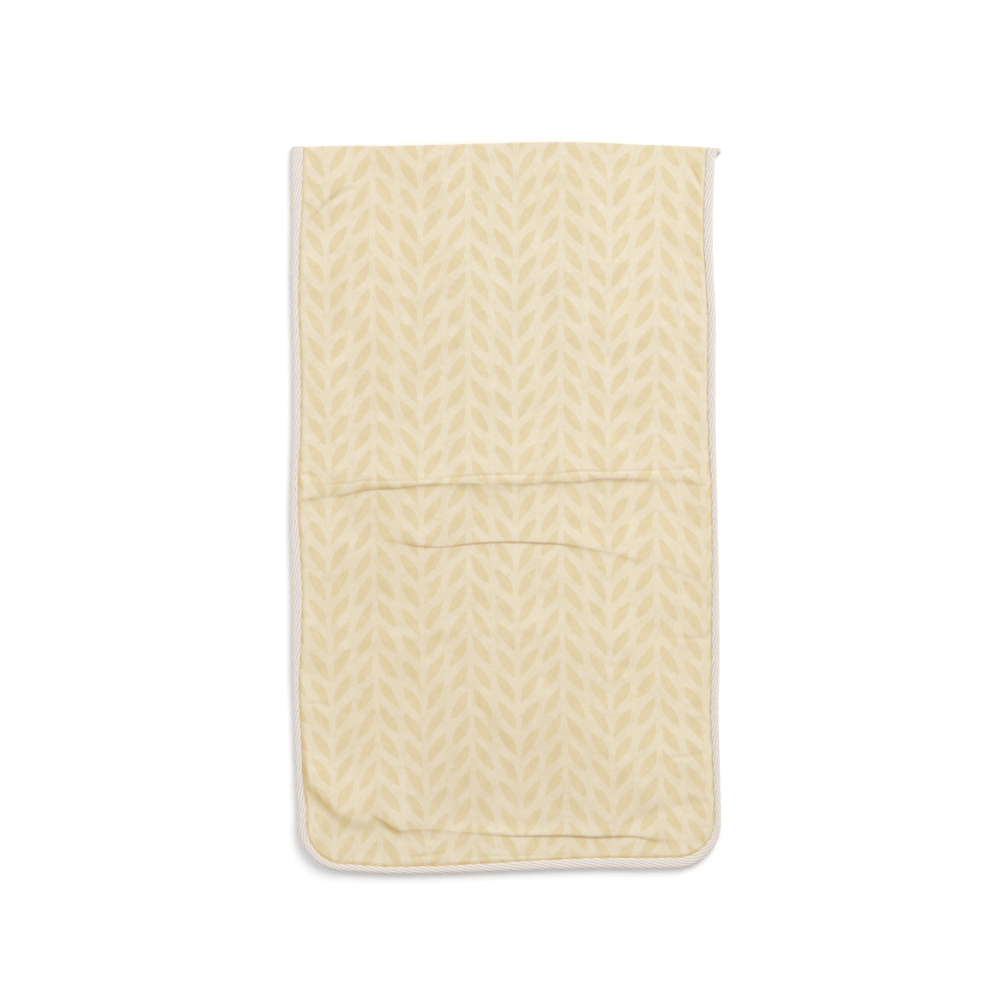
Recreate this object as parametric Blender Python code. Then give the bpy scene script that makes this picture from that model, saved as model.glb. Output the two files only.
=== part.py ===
"""A bread bag, empty and lying on its back, with its open mouth towards +Y.

Two cloth panels lie one over the other. A folded twill tape binds their edges down the left
side, round the foot and up the right side, and leaves the mouth open. Lengths are in metres,
+Z is up and Z = 0 is the surface that the bag lies on.

The bag is worked out in two steps. The cut is a rectangle with two round corners, in cut
coordinates: across (the left side is negative) and along (the mouth is positive). The lie
then moves each point of the cut a few millimetres, as the cloth was put down.
"""

import math

import bpy
import numpy as np

MM = 0.001

# The cut, measured to the outside of the tape
CUT_WIDTH = 253 * MM
CUT_LENGTH = 430 * MM
CORNER_RADIUS = 27 * MM

# The materials' thicknesses, and the air left between one piece and the next
CLOTH = 1.0 * MM
TAPE = 1.0 * MM
AIR = 0.35 * MM

# Levels of the layers inside the folded tape, from the surface up
BACK_LEVEL = TAPE + AIR
FRONT_LEVEL = BACK_LEVEL + CLOTH + AIR
FOLD_RADIUS = (FRONT_LEVEL + CLOTH + AIR + TAPE) / 2

# The raw edges of the panels stop this far inside the tape's outer fold
RAW_EDGE = 2.7 * MM
# The panels leave the tape this far past its inner edge, and reach their own level further in
CLEAR_OF_TAPE = 0.5 * MM
BACK_SETTLES = 9 * MM
FRONT_SWELLS = 36 * MM
FOLDS_START = 7 * MM
# The underside of the front panel stands this high over the surface, in the middle of the bag
FRONT_RISES_TO = 8.5 * MM

# The hem zone is the band of rings between the outline and the field of rows and columns
HEM_ZONE = 13 * MM
UNDER_REACH = 5.0 * MM

# How the outline lies: distance along the cut, and how far each side has moved towards +X
SIDE_DRIFT = (  # along, left, right
    (-179, 4.0, 0.8),
    (-168, 3.2, 0.5),
    (-144, 2.1, -0.1),
    (-120, 1.3, -0.6),
    (-97, 0.5, -0.1),
    (-50, 0.4, -0.3),
    (-2, -0.5, -1.2),
    (45, 0.7, -2.2),
    (92, 0.8, -2.3),
    (116, 0.3, -2.2),
    (139, -0.1, -3.3),
    (175, 0.4, -3.9),
    (202, 0.0, -2.9),
    (215, 0.2, -2.4),
)
# Distance across the cut, and how far the foot and the mouth have moved towards +Y
END_DRIFT = (  # across, foot, mouth
    (-127, 1.0, -1.8),
    (-98, 0.3, -0.9),
    (-74, -1.2, -1.1),
    (-39, -0.9, -0.5),
    (-3, 0.4, 0.5),
    (32, 1.5, 1.2),
    (56, 2.0, 0.9),
    (80, 1.8, -0.2),
    (103, 2.2, -0.8),
    (127, 2.6, -2.0),
)
# Distance round the bound edge from the left mouth corner, and the tape's reach over the front
TAPE_REACH = (  # round, reach
    (0, 5.5),
    (40, 4.6),
    (100, 3.6),
    (190, 3.5),
    (260, 5.0),
    (330, 3.3),
    (403, 4.2),
    (445, 4.6),
    (520, 5.0),
    (580, 6.0),
    (645, 6.0),
    (690, 4.1),
    (745, 4.8),
    (800, 4.8),
    (850, 3.8),
    (890, 3.8),
    (930, 4.7),
    (980, 4.7),
    (1050, 5.8),
    (1090, 5.6),
)
# The tape's cut ends: distance from the end, and how far its outer fold has moved outwards
NEAT_END = (  # from the end, outwards
    (0, -0.4),
    (2.5, -0.1),
    (6, 0.0),
)
FRAYED_END = (  # from the end, outwards
    (0, 2.3),
    (1.2, 3.0),
    (2.6, 1.2),
    (4.5, 0.0),
)
NEAT_END_PAST_MOUTH = 0.9 * MM
FRAYED_END_PAST_MOUTH = 0.2 * MM
# The back panel's mouth edge lies this far short of the front's
BACK_SHORT_BY = 1.5 * MM

# Folds of the front panel. Each runs from its start to its end, drawn towards its bend. Its
# crest has a run on its left-hand side and a run on its right-hand side, seen along the fold.
FOLDS = (  # start x, y, bend x, y, end x, y, rise, left run, right run
    (-122, 10.5, 0, 21.5, 122, 16.5, 2.8, 4.0, 2.4),
    (-64, -20, 4, -17.5, 84, -33, 2.2, 7.0, 1.6),
    (-72, -187, 0, -196, 96, -195, 1.6, 8.0, 1.6),
    (-116, -168, -90, -170, -62, -192, 2.0, 9.0, 5.0),
    (-122, 162, -112, 180, -88, 193, 1.4, 3.0, 3.0),
)
# Broad swells and hollows of the front panel
SWELLS = (  # x, y, rise, width, length
    (-70, 110, 0.5, 45, 60),
    (55, 120, -0.5, 40, 60),
    (40, -80, 0.6, 50, 45),
    (-60, -100, -0.4, 45, 45),
    (95, -140, 0.6, 25, 40),
    (-5, 215, 0.8, 55, 22),
)
# The press fold across the back panel, where it stands clear of the surface
BACK_FOLD = (-122, 14, 0, 24, 122, 20, 1.3, 4.0, 3.5)
# The foot's left corner stands a little clear of the surface
CORNER_LIFT = (-118, -205, 1.6, 34, 34)

COLUMNS = 20
CORNER_STEPS = 7
FOLD_ROW_STEP = 2.3
PLAIN_ROW_STEP = 10.5
BACK_ROW_STEP = 17
# Stretches along the cut where the rows stand closer together, from the foot to the mouth
FRONT_FOLD_BANDS = ((-187, -179), (-34, -17), (8, 23))
BACK_FOLD_BANDS = ((12, 24),)
TAPE_STEP = 13
FOLD_STEPS = 6
CURVE_STEPS = 40

SIDE = CUT_LENGTH - CORNER_RADIUS
FOOT = CUT_WIDTH - 2 * CORNER_RADIUS
QUARTER = CORNER_RADIUS * math.pi / 2
ROUND = 2 * SIDE + 2 * QUARTER + FOOT


def from_table(table, column, at):
    """A smooth curve through one column of a table in millimetres, read at lengths in metres.

    Between two rows it is the cubic that leaves each row with the slope of its neighbours.
    """
    rows = np.array(table, float) * MM
    keys, values = rows[:, 0], rows[:, column]
    slopes = np.gradient(values, keys)
    at = np.clip(at, keys[0], keys[-1])
    i = np.clip(np.searchsorted(keys, at) - 1, 0, len(keys) - 2)
    step = keys[i + 1] - keys[i]
    t = (at - keys[i]) / step
    start = (1 + 2 * t) * (1 - t) ** 2 * values[i] + t * (1 - t) ** 2 * step * slopes[i]
    end = t * t * (3 - 2 * t) * values[i + 1] + t * t * (t - 1) * step * slopes[i + 1]
    return start + end


def eased(t):
    """0 before 0, 1 after 1, and a smooth S between them."""
    t = np.clip(t, 0, 1)
    return t * t * (3 - 2 * t)


def edge_point(way, inset):
    """The cut's point at a distance round the bound edge, and an inset from the outline.

    The way starts at the left mouth corner, goes down the side, round the foot's left corner,
    along the foot, round the right corner and up the right side.
    """
    way, inset = np.broadcast_arrays(np.asarray(way, float), np.asarray(inset, float))
    half, foot = CUT_WIDTH / 2, -CUT_LENGTH / 2
    right = way > ROUND / 2
    down = np.where(right, ROUND - way, way)  # the right half mirrors the left half
    turn = np.clip((down - SIDE) / CORNER_RADIUS, 0, math.pi / 2)
    radius = CORNER_RADIUS - inset
    across = -half + CORNER_RADIUS - radius * np.cos(turn)
    along = foot + CORNER_RADIUS - radius * np.sin(turn)
    along += np.maximum(SIDE - down, 0)
    across += np.maximum(down - SIDE - QUARTER, 0)
    return np.where(right, -across, across), along


def lie(across, along):
    """Where a point of the cut lies on the surface."""
    share_right = across / CUT_WIDTH + 0.5
    share_mouth = along / CUT_LENGTH + 0.5
    left, right = from_table(SIDE_DRIFT, 1, along), from_table(SIDE_DRIFT, 2, along)
    foot, mouth = from_table(END_DRIFT, 1, across), from_table(END_DRIFT, 2, across)
    x = across + left + (right - left) * share_right
    y = along + foot + (mouth - foot) * share_mouth
    return x, y


def fold_height(x, y, fold):
    """The height of one fold: a crest along a bent line, falling away like a bell each side.

    The crest is highest halfway and sinks to nothing at both ends of the line.
    """
    x0, y0, x1, y1, x2, y2, rise, left_run, right_run = np.array(fold, float) * MM
    t = np.linspace(0, 1, CURVE_STEPS)
    line_x = (1 - t) ** 2 * x0 + 2 * t * (1 - t) * x1 + t * t * x2
    line_y = (1 - t) ** 2 * y0 + 2 * t * (1 - t) * y1 + t * t * y2
    nearest = np.full(x.shape, np.inf)
    height = np.zeros(x.shape)
    for k in range(CURVE_STEPS - 1):
        dx, dy = line_x[k + 1] - line_x[k], line_y[k + 1] - line_y[k]
        share = ((x - line_x[k]) * dx + (y - line_y[k]) * dy) / (dx * dx + dy * dy)
        share = np.clip(share, 0, 1)
        off_x, off_y = x - line_x[k] - share * dx, y - line_y[k] - share * dy
        away = np.hypot(off_x, off_y)
        run = np.where(dx * off_y - dy * off_x > 0, left_run, right_run)
        crest = rise * np.sin(math.pi * (k + share) / (CURVE_STEPS - 1)) ** 0.6
        here = crest * np.exp(-((away / run) ** 2))
        height = np.where(away < nearest, here, height)
        nearest = np.minimum(away, nearest)
    return height


def swell_height(x, y, swell):
    """The height of one broad swell, a bell of its own width and length."""
    at_x, at_y, rise, width, length = np.array(swell, float) * MM
    return rise * np.exp(-(((x - at_x) / width) ** 2) - ((y - at_y) / length) ** 2)


def front_underside(x, y, inset, reach):
    """The height of the front panel's underside: pinched in the tape, swelling further in."""
    past_tape = inset - reach - CLEAR_OF_TAPE
    level = FRONT_LEVEL + (FRONT_RISES_TO - FRONT_LEVEL) * eased(past_tape / FRONT_SWELLS)
    relief = sum(fold_height(x, y, fold) for fold in FOLDS)
    relief = relief + sum(swell_height(x, y, swell) for swell in SWELLS)
    return level + relief * eased(past_tape / FOLDS_START) + swell_height(x, y, CORNER_LIFT)


def back_underside(x, y, inset, reach):
    """The height of the back panel's underside: raised in the tape, on the surface further in."""
    past_tape = inset - reach - CLEAR_OF_TAPE
    level = BACK_LEVEL * (1 - eased(past_tape / BACK_SETTLES))
    relief = fold_height(x, y, BACK_FOLD) * eased(past_tape / FOLDS_START)
    relief = np.where(relief < 0.05 * MM, 0, relief)
    lift = swell_height(x, y, CORNER_LIFT)
    return level + relief + np.where(lift < 0.05 * MM, 0, lift)


def inset_of(across, along):
    """How far a point of the cut lies inside the outline, the open mouth not counted."""
    beyond_side = np.abs(across) - (CUT_WIDTH / 2 - CORNER_RADIUS)
    beyond_foot = (CORNER_RADIUS - CUT_LENGTH / 2) - along
    corner = np.hypot(np.maximum(beyond_side, 0), np.maximum(beyond_foot, 0))
    inner = np.minimum(np.maximum(beyond_side, beyond_foot), 0)
    return CORNER_RADIUS - corner - inner


def row_ways(first, plain_step, bands):
    """Distances down the left side at which the rows start, closer together in the bands."""
    stops = [CUT_LENGTH / 2 - edge * MM for band in bands for edge in band]
    stops = [first] + sorted(stops) + [SIDE]
    ways = [np.array([first])]
    for start, end in zip(stops, stops[1:]):
        middle = (CUT_LENGTH / 2 - (start + end) / 2) / MM
        step = FOLD_ROW_STEP if any(low < middle < high for low, high in bands) else plain_step
        ways.append(np.linspace(start, end, math.ceil((end - start) / MM / step) + 1)[1:])
    corner = SIDE + QUARTER * np.arange(1, CORNER_STEPS + 1) / CORNER_STEPS
    return np.concatenate(ways + [corner])


def closed_sheet(name, top, bottom, faces, material):
    """One closed solid from a top skin, a bottom skin with the same faces, and walls."""
    edges = {(face[i], face[(i + 1) % 4]) for face in faces for i in range(4)}
    count = len(top)
    under = [tuple(count + v for v in reversed(face)) for face in faces]
    walls = [(b, a, count + a, count + b) for a, b in sorted(edges) if (b, a) not in edges]
    mesh = bpy.data.meshes.new(name)
    mesh.from_pydata(np.concatenate([top, bottom]).tolist(), [], list(faces) + under + walls)
    mesh.validate()
    mesh.shade_smooth()
    mesh.set_sharp_from_angle(angle=math.radians(40))
    mesh.materials.append(material)
    obj = bpy.data.objects.new(name, mesh)
    bpy.context.scene.collection.objects.link(obj)
    return obj


def panel(name, underside, reach_over, ways, material):
    """A cloth panel: a field of rows and columns, with rings in the hem zone round it."""
    rows, columns = len(ways), COLUMNS + 1
    left_across, along = edge_point(ways, HEM_ZONE)
    share = np.linspace(-1, 1, columns)
    across = -left_across[:, None] * share
    along = np.broadcast_to(along[:, None], across.shape)
    foot_ways = SIDE + QUARTER + FOOT * np.arange(1, COLUMNS) / COLUMNS
    rim_ways = np.concatenate([ways, foot_ways, ROUND - ways[::-1]])
    reach = reach_over(rim_ways)
    ring_insets = (np.full_like(reach, RAW_EDGE), reach + CLEAR_OF_TAPE, reach + FOLDS_START / 2)
    rings = [edge_point(rim_ways, inset) for inset in ring_insets]
    field_way = np.interp(share, (-1, 1), (0, 1))[None, :] * np.ones((rows, 1))
    field_reach = (1 - field_way) * reach_over(ways)[:, None]
    field_reach = field_reach + field_way * reach_over(ROUND - ways)[:, None]

    all_across = np.concatenate([across.ravel()] + [ring[0] for ring in rings])
    all_along = np.concatenate([along.ravel()] + [ring[1] for ring in rings])
    all_inset = np.concatenate([inset_of(across, along).ravel()] + list(ring_insets))
    all_reach = np.concatenate([field_reach.ravel()] + [reach] * len(rings))
    x, y = lie(all_across, all_along)
    z = underside(x, y, all_inset, all_reach)

    field = np.arange(rows * columns).reshape(rows, columns)
    rim = list(field[:, 0]) + list(field[-1, 1:-1]) + list(field[::-1, -1])
    loops = [rows * columns + k * len(rim) + np.arange(len(rim)) for k in range(len(rings))]
    faces = [
        (field[i + 1, j], field[i + 1, j + 1], field[i, j + 1], field[i, j])
        for i in range(rows - 1)
        for j in range(COLUMNS)
    ]
    for outer, inner in zip(loops, loops[1:] + [rim]):
        faces += [
            (outer[k], outer[k + 1], inner[k + 1], inner[k]) for k in range(len(rim) - 1)
        ]
    faces = [tuple(int(v) for v in face) for face in faces]
    bottom = np.stack([x, y, z], axis=1)
    top = bottom + (0, 0, CLOTH)
    return closed_sheet(name, top, bottom, faces, material)


def front_reach(ways):
    return from_table(TAPE_REACH, 1, ways)


def back_reach(ways):
    return np.full(np.shape(ways), UNDER_REACH)


def tape_section(reach):
    """The folded tape's section as (inset, height): up the outer fold, back down the inner one."""
    turns = np.linspace(-math.pi / 2, math.pi / 2, FOLD_STEPS + 1)
    inner_radius = FOLD_RADIUS - TAPE
    outer = [
        (FOLD_RADIUS * (1 - math.cos(turn)), FOLD_RADIUS * (1 + math.sin(turn)))
        for turn in turns
    ]
    inner = [
        (FOLD_RADIUS - inner_radius * math.cos(turn), FOLD_RADIUS + inner_radius * math.sin(turn))
        for turn in turns[::-1]
    ]
    top_end = [(reach, 2 * FOLD_RADIUS), (reach, 2 * FOLD_RADIUS - TAPE)]
    bottom_end = [(UNDER_REACH, TAPE), (UNDER_REACH, 0)]
    return np.array(outer + top_end + inner + bottom_end)


def binding(material):
    """The twill tape: its folded section carried round the bound edge, with two cut ends."""
    start, end = -NEAT_END_PAST_MOUTH, ROUND + FRAYED_END_PAST_MOUTH
    side_steps = round(SIDE / MM / TAPE_STEP)
    side = np.linspace(0, SIDE, side_steps + 1)
    corner = SIDE + QUARTER * np.arange(1, CORNER_STEPS + 1) / CORNER_STEPS
    foot_steps = round(FOOT / MM / TAPE_STEP)
    foot = SIDE + QUARTER + FOOT * np.arange(1, foot_steps) / foot_steps
    neat = start + np.array([row[0] for row in NEAT_END]) * MM
    frayed = end - np.array([row[0] for row in FRAYED_END[::-1]]) * MM
    body = np.concatenate([side, corner, foot, ROUND - corner[::-1], ROUND - side[::-1]])
    body = body[(body > neat[-1] + 2 * MM) & (body < frayed[0] - 2 * MM)]
    ways = np.concatenate([neat, body, frayed])

    outwards = from_table(NEAT_END, 1, ways - start) + from_table(FRAYED_END, 1, end - ways)
    points = []
    for way, reach, out in zip(ways, front_reach(ways), outwards):
        section = tape_section(reach)
        inset = section[:, 0] - out * np.clip(1 - section[:, 0] / UNDER_REACH, 0, 1)
        inside = np.clip(way, 0, ROUND)
        across, along = edge_point(np.full(len(inset), inside), inset)
        along = along + abs(way - inside)
        x, y = lie(across, along)
        points.append(np.stack([x, y, section[:, 1] + swell_height(x, y, CORNER_LIFT)], axis=1))
    size = len(points[0])
    last = (len(points) - 1) * size
    faces = [tuple(range(size)), tuple(last + i for i in reversed(range(size)))]
    for here in range(0, last, size):
        there = here + size
        for i in range(size):
            j = (i + 1) % size
            faces.append((here + i, there + i, there + j, here + j))
    mesh = bpy.data.meshes.new("binding")
    mesh.from_pydata(np.concatenate(points).tolist(), [], faces)
    mesh.validate()
    mesh.shade_smooth()
    mesh.set_sharp_from_angle(angle=math.radians(40))
    mesh.materials.append(material)
    obj = bpy.data.objects.new("binding", mesh)
    bpy.context.scene.collection.objects.link(obj)
    return obj


def fabric(name, colour, roughness):
    """A matt cloth material."""
    material = bpy.data.materials.new(name)
    material.use_nodes = True
    shader = material.node_tree.nodes["Principled BSDF"]
    shader.inputs["Base Color"].default_value = (*colour, 1)
    shader.inputs["Roughness"].default_value = roughness
    shader.inputs["Metallic"].default_value = 0
    return material


def main():
    for obj in list(bpy.data.objects):
        bpy.data.objects.remove(obj)
    print_cloth = fabric("printed cotton", (0.80, 0.70, 0.50), 0.85)
    tape_cloth = fabric("twill tape", (0.83, 0.76, 0.70), 0.9)
    back_ways = row_ways(BACK_SHORT_BY, BACK_ROW_STEP, BACK_FOLD_BANDS)
    front_ways = row_ways(0, PLAIN_ROW_STEP, FRONT_FOLD_BANDS)
    panel("back_panel", back_underside, back_reach, back_ways, print_cloth)
    panel("front_panel", front_underside, front_reach, front_ways, print_cloth)
    binding(tape_cloth)


main()
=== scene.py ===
"""The looks of an empty bread bag: printed cotton, twill tape, stitching, a frayed tape end.

Lengths in tables are in millimetres, and everything else is in metres. A point of the bag is
first placed on the flat cut, as across (the left side is negative) and along (the mouth is
positive), and then moved to where the cloth lies. "Way" is the distance round the bound edge
from the left mouth corner, and "inset" the distance inwards from the outline.
"""

import math

import bpy
import numpy as np
from bpy.props import FloatProperty, FloatVectorProperty, IntProperty, PointerProperty
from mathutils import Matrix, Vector


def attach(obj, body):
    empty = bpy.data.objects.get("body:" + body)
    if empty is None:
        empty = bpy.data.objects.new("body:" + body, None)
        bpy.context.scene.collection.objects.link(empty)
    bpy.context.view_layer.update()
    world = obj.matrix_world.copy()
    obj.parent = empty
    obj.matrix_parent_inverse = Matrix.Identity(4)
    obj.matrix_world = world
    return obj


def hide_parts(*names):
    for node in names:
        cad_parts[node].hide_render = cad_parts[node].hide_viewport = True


bl_info = {
    "name": "Bread bag",
    "version": (1, 0, 0),
    "blender": (4, 5, 0),
    "location": "View3D > Sidebar > Bread bag",
    "description": "Builds the cloth, the tape and the stitching of a bread bag that lies flat",
    "category": "Object",
}

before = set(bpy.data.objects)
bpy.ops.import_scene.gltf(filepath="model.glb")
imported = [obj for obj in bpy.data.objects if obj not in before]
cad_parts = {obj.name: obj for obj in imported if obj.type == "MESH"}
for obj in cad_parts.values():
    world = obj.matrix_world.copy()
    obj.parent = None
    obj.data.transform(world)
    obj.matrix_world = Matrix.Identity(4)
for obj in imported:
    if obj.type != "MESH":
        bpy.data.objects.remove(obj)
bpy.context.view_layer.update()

MM = 0.001
BODY = "root"

# The cut, and the layers inside the folded tape
CUT_WIDTH = 253 * MM
CUT_LENGTH = 430 * MM
CORNER_RADIUS = 27 * MM
CLOTH = 1.0 * MM
TAPE = 1.0 * MM
AIR = 0.35 * MM
BACK_LEVEL = TAPE + AIR
FRONT_LEVEL = BACK_LEVEL + CLOTH + AIR
FOLD_RADIUS = (FRONT_LEVEL + CLOTH + AIR + TAPE) / 2
RAW_EDGE = 2.7 * MM
CLEAR_OF_TAPE = 0.5 * MM
UNDER_REACH = 5.0 * MM
MEAN_REACH = 4.7 * MM
BACK_SHORT_BY = 1.5 * MM
NEAT_END_PAST_MOUTH = 0.9 * MM
FRAYED_END_PAST_MOUTH = 0.2 * MM

# How the panels lie past the tape: where their levels and folds settle
REACH_EVENS_FROM = 7 * MM
REACH_EVENS_OUT = 36 * MM
BACK_SETTLES = 9 * MM
FRONT_SWELLS = 100 * MM
FRONT_RISES_TO = 7.5 * MM
FOLDS_START = 3.5 * MM
LIES_FLAT_BELOW = 0.05 * MM
SEAM_ROLL = 0.8 * MM
SEAM_ROLL_RISES = 1.0 * MM
SEAM_ROLL_SETTLES = 7 * MM
PUCKER_STEP = 9 * MM
PUCKERS_STRAY = 60 * MM
PUCKERS_SETTLE = 6 * MM
FAINT_WAVES = ((34 * MM, 4, 1.0), (11 * MM, 9, 0.3))  # length, seed, share of the height
# The painted warm shade of the cloth right beside the tape, where the tape shades it
SEAM_PAINTED_SHADE = 0.4
SEAM_SHADE_GROWS_TO_RIGHT = 120 * MM
SEAM_SHADE_RUN = 1.0 * MM

SIDE = CUT_LENGTH - CORNER_RADIUS
FOOT = CUT_WIDTH - 2 * CORNER_RADIUS
QUARTER = CORNER_RADIUS * math.pi / 2
ROUND = 2 * SIDE + 2 * QUARTER + FOOT
TAPE_START = -NEAT_END_PAST_MOUTH
TAPE_END = ROUND + FRAYED_END_PAST_MOUTH

# How the outline lies: distance along the cut, and how far each side has moved towards +X
SIDE_DRIFT = (  # along, left, right
    (-179, 4.0, 0.8), (-168, 3.2, 0.5), (-144, 2.1, -0.1), (-120, 1.3, -0.6), (-97, 0.5, -0.1),
    (-50, 0.4, -0.3), (-2, -0.5, -1.2), (45, 0.7, -2.2), (92, 0.8, -2.3), (116, 0.3, -2.2),
    (139, -0.1, -3.3), (175, 0.4, -3.9), (202, 0.0, -2.9), (215, 0.2, -2.4),
)
# Distance across the cut, and how far the foot and the mouth have moved towards +Y
END_DRIFT = (  # across, foot, mouth
    (-127, 1.0, -2.7), (-98, 0.3, -1.8), (-74, -1.2, -2.0), (-39, -0.9, -1.4), (-3, 0.4, -0.4),
    (32, 1.5, 0.3), (56, 2.0, 0.0), (80, 1.8, -1.1), (103, 2.2, -1.7), (127, 2.6, -2.9),
)
# Distance round the bound edge from the left mouth corner, and the tape's reach over the front
TAPE_REACH = (  # round, reach
    (0, 7.0), (26, 6.4), (45, 5.3), (85, 4.4), (100, 4.1), (120, 4.6), (150, 4.9), (175, 4.7),
    (192, 4.1), (212, 4.5), (240, 5.5), (264, 6.0), (290, 5.6), (306, 4.8), (322, 3.8),
    (350, 4.1), (370, 4.1), (394, 5.0), (410, 5.1), (445, 4.6), (520, 5.0), (580, 6.2),
    (618, 6.6), (648, 6.4), (690, 4.1), (745, 4.8), (800, 4.8), (850, 3.8), (890, 3.8),
    (930, 4.7), (980, 4.7), (1050, 5.8), (1090, 5.6),
)
NEAT_END = (  # from the end, outwards
    (0, -0.4), (2.5, -0.1), (6, 0.0),
)
FRAYED_END = (  # from the end, outwards
    (0, 1.2), (1.2, 1.9), (2.6, 1.5), (4.0, 0.7), (6.0, 0.0),
)

# Where the front panel's three main folds end in a tuck, and how each tuck lies along its line:
# the cloth rises above the line and drops below it, steepest at the line
UPPER_TUCK = (  # x, y, slope above, its run, slope below, its run
    (-127, 3.2, 0.23, 1.4, 0.3, 1.0),
    (-114, 5.2, 0.45, 1.4, 0.4, 1.0),
    (-104, 6.6, 0.27, 3.0, 0.2, 0.6),
    (-94, 7.7, 0.57, 1.2, 0.45, 0.9),
    (-84, 10.0, 0.65, 2.2, 0.45, 0.7),
    (-71, 11.0, 0.88, 1.5, 0.4, 0.4),
    (-62, 11.5, 0.7, 1.3, 0.54, 0.5),
    (-54, 12.8, 0.74, 0.9, 0.57, 2.0),
    (-45, 13.5, 0.78, 0.7, 0.57, 1.3),
    (-33, 13.7, 0.5, 0.7, 0.46, 1.7),
    (-21, 14.2, 0.4, 0.6, 0.52, 3.6),
    (-9, 13.9, 0.24, 0.9, 0.28, 4.5),
    (3, 14.1, 0.42, 1.2, 0.41, 3.2),
    (12, 13.4, 0.48, 1.8, 0.44, 1.1),
    (21, 14.5, 0.46, 0.8, 0.38, 0.9),
    (32, 15.0, 0.62, 1.1, 0.57, 1.5),
    (44, 14.8, 0.54, 1.6, 0.4, 0.7),
    (56, 16.7, 0.58, 1.0, 0.54, 1.3),
    (68, 16.7, 0.58, 1.1, 0.52, 1.6),
    (79, 16.2, 0.48, 1.5, 0.44, 1.3),
    (91, 15.9, 0.22, 2.5, 0.23, 3.0),
    (103, 16.1, 0.31, 2.5, 0.31, 2.0),
    (112, 14.2, 0.34, 2.0, 0.32, 0.8),
    (120, 13.4, 0.15, 2.0, 0.3, 0.8),
    (127, 13.2, 0.05, 2.0, 0.1, 0.8),
)
MIDDLE_TUCK = (  # x, y, slope above, its run, slope below, its run
    (-127, -18.5, 0.02, 2.0, 0.02, 2.0),
    (-119, -18.9, 0.05, 2.0, 0.04, 2.0),
    (-72, -19.0, 0.05, 2.0, 0.04, 2.0),
    (-65, -19.7, 0.21, 1.2, 0.23, 1.2),
    (-58, -21.4, 0.48, 1.8, 0.46, 0.7),
    (-50, -22.8, 0.69, 0.9, 0.52, 0.4),
    (-39, -23.3, 0.48, 0.6, 0.35, 0.25),
    (-27, -22.1, 0.69, 0.6, 0.35, 0.3),
    (-12, -20.7, 1.04, 0.4, 0.58, 0.3),
    (6, -20.3, 1.04, 0.35, 0.69, 0.3),
    (20, -20.8, 1.04, 0.4, 0.69, 0.45),
    (32, -21.5, 0.81, 0.6, 0.52, 0.4),
    (42, -22.9, 0.44, 1.0, 0.44, 1.5),
    (51, -24.7, 0.38, 1.1, 0.38, 1.4),
    (62, -26.7, 0.21, 2.0, 0.21, 2.0),
    (73, -29.9, 0.31, 1.6, 0.31, 2.2),
    (80, -31.9, 0.16, 1.5, 0.16, 1.5),
    (97, -35.4, 0.15, 2.0, 0.15, 2.0),
    (110, -40.5, 0.15, 2.0, 0.15, 2.0),
    (118, -45.3, 0.1, 2.0, 0.1, 2.0),
    (127, -49.0, 0.0, 2.0, 0.0, 2.0),
)
LOWER_TUCK = (  # x, y, slope above, its run, slope below, its run
    (-127, -164.0, 0.0, 3.0, 0.0, 3.0),
    (-106, -172.3, 0.0, 3.0, 0.0, 3.0),
    (-88, -179.0, 0.0, 2.0, 0.0, 2.0),
    (-80.5, -180.9, 0.07, 1.0, 0.04, 2.0),
    (-77, -182.3, 0.37, 1.0, 0.25, 2.0),
    (-70, -187.0, 0.74, 1.0, 0.68, 2.0),
    (-64, -190.4, 0.7, 1.0, 0.63, 2.2),
    (-57, -190.5, 0.48, 1.1, 0.42, 2.5),
    (-47, -190.0, 0.4, 1.3, 0.4, 2.0),
    (-33, -191.2, 0.32, 1.2, 0.28, 1.4),
    (-21, -192.2, 0.4, 1.5, 0.3, 1.0),
    (-9, -192.8, 0.45, 1.8, 0.35, 0.8),
    (3, -193.7, 0.65, 0.8, 0.5, 0.4),
    (17, -193.7, 0.95, 0.5, 0.6, 0.35),
    (35, -193.7, 1.1, 0.6, 0.6, 0.35),
    (53, -194.5, 1.2, 0.6, 0.6, 0.4),
    (68, -194.2, 0.95, 0.8, 0.5, 0.3),
    (78, -194.3, 0.8, 0.6, 0.4, 0.3),
    (86, -195.9, 0.45, 1.4, 0.4, 0.9),
    (97, -196.4, 0.22, 1.6, 0.22, 1.8),
    (104, -196.6, 0.08, 1.6, 0.07, 1.8),
    (112, -197.0, 0.0, 1.6, 0.0, 1.8),
    (127, -198.0, 0.0, 2.0, 0.0, 2.0),
)
TUCKS = (UPPER_TUCK, MIDDLE_TUCK, LOWER_TUCK)
# The soft slope in the left foot corner, that the lower fold runs out of
CORNER_SLOPE = (  # x, y, rise, half of the run
    (-127, -159.0, 1.6, 4.0), (-114.2, -167.3, 3.2, 4.2), (-108.3, -173.8, 3.7, 4.2),
    (-101.8, -179.7, 3.4, 4.2), (-94.7, -185.2, 2.8, 4.0), (-81.7, -188.0, 1.6, 3.5),
    (-75.2, -188.6, 0.5, 3.0), (-66.0, -189.0, 0.0, 3.0), (127.0, -189.0, 0.0, 3.0),
)
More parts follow.
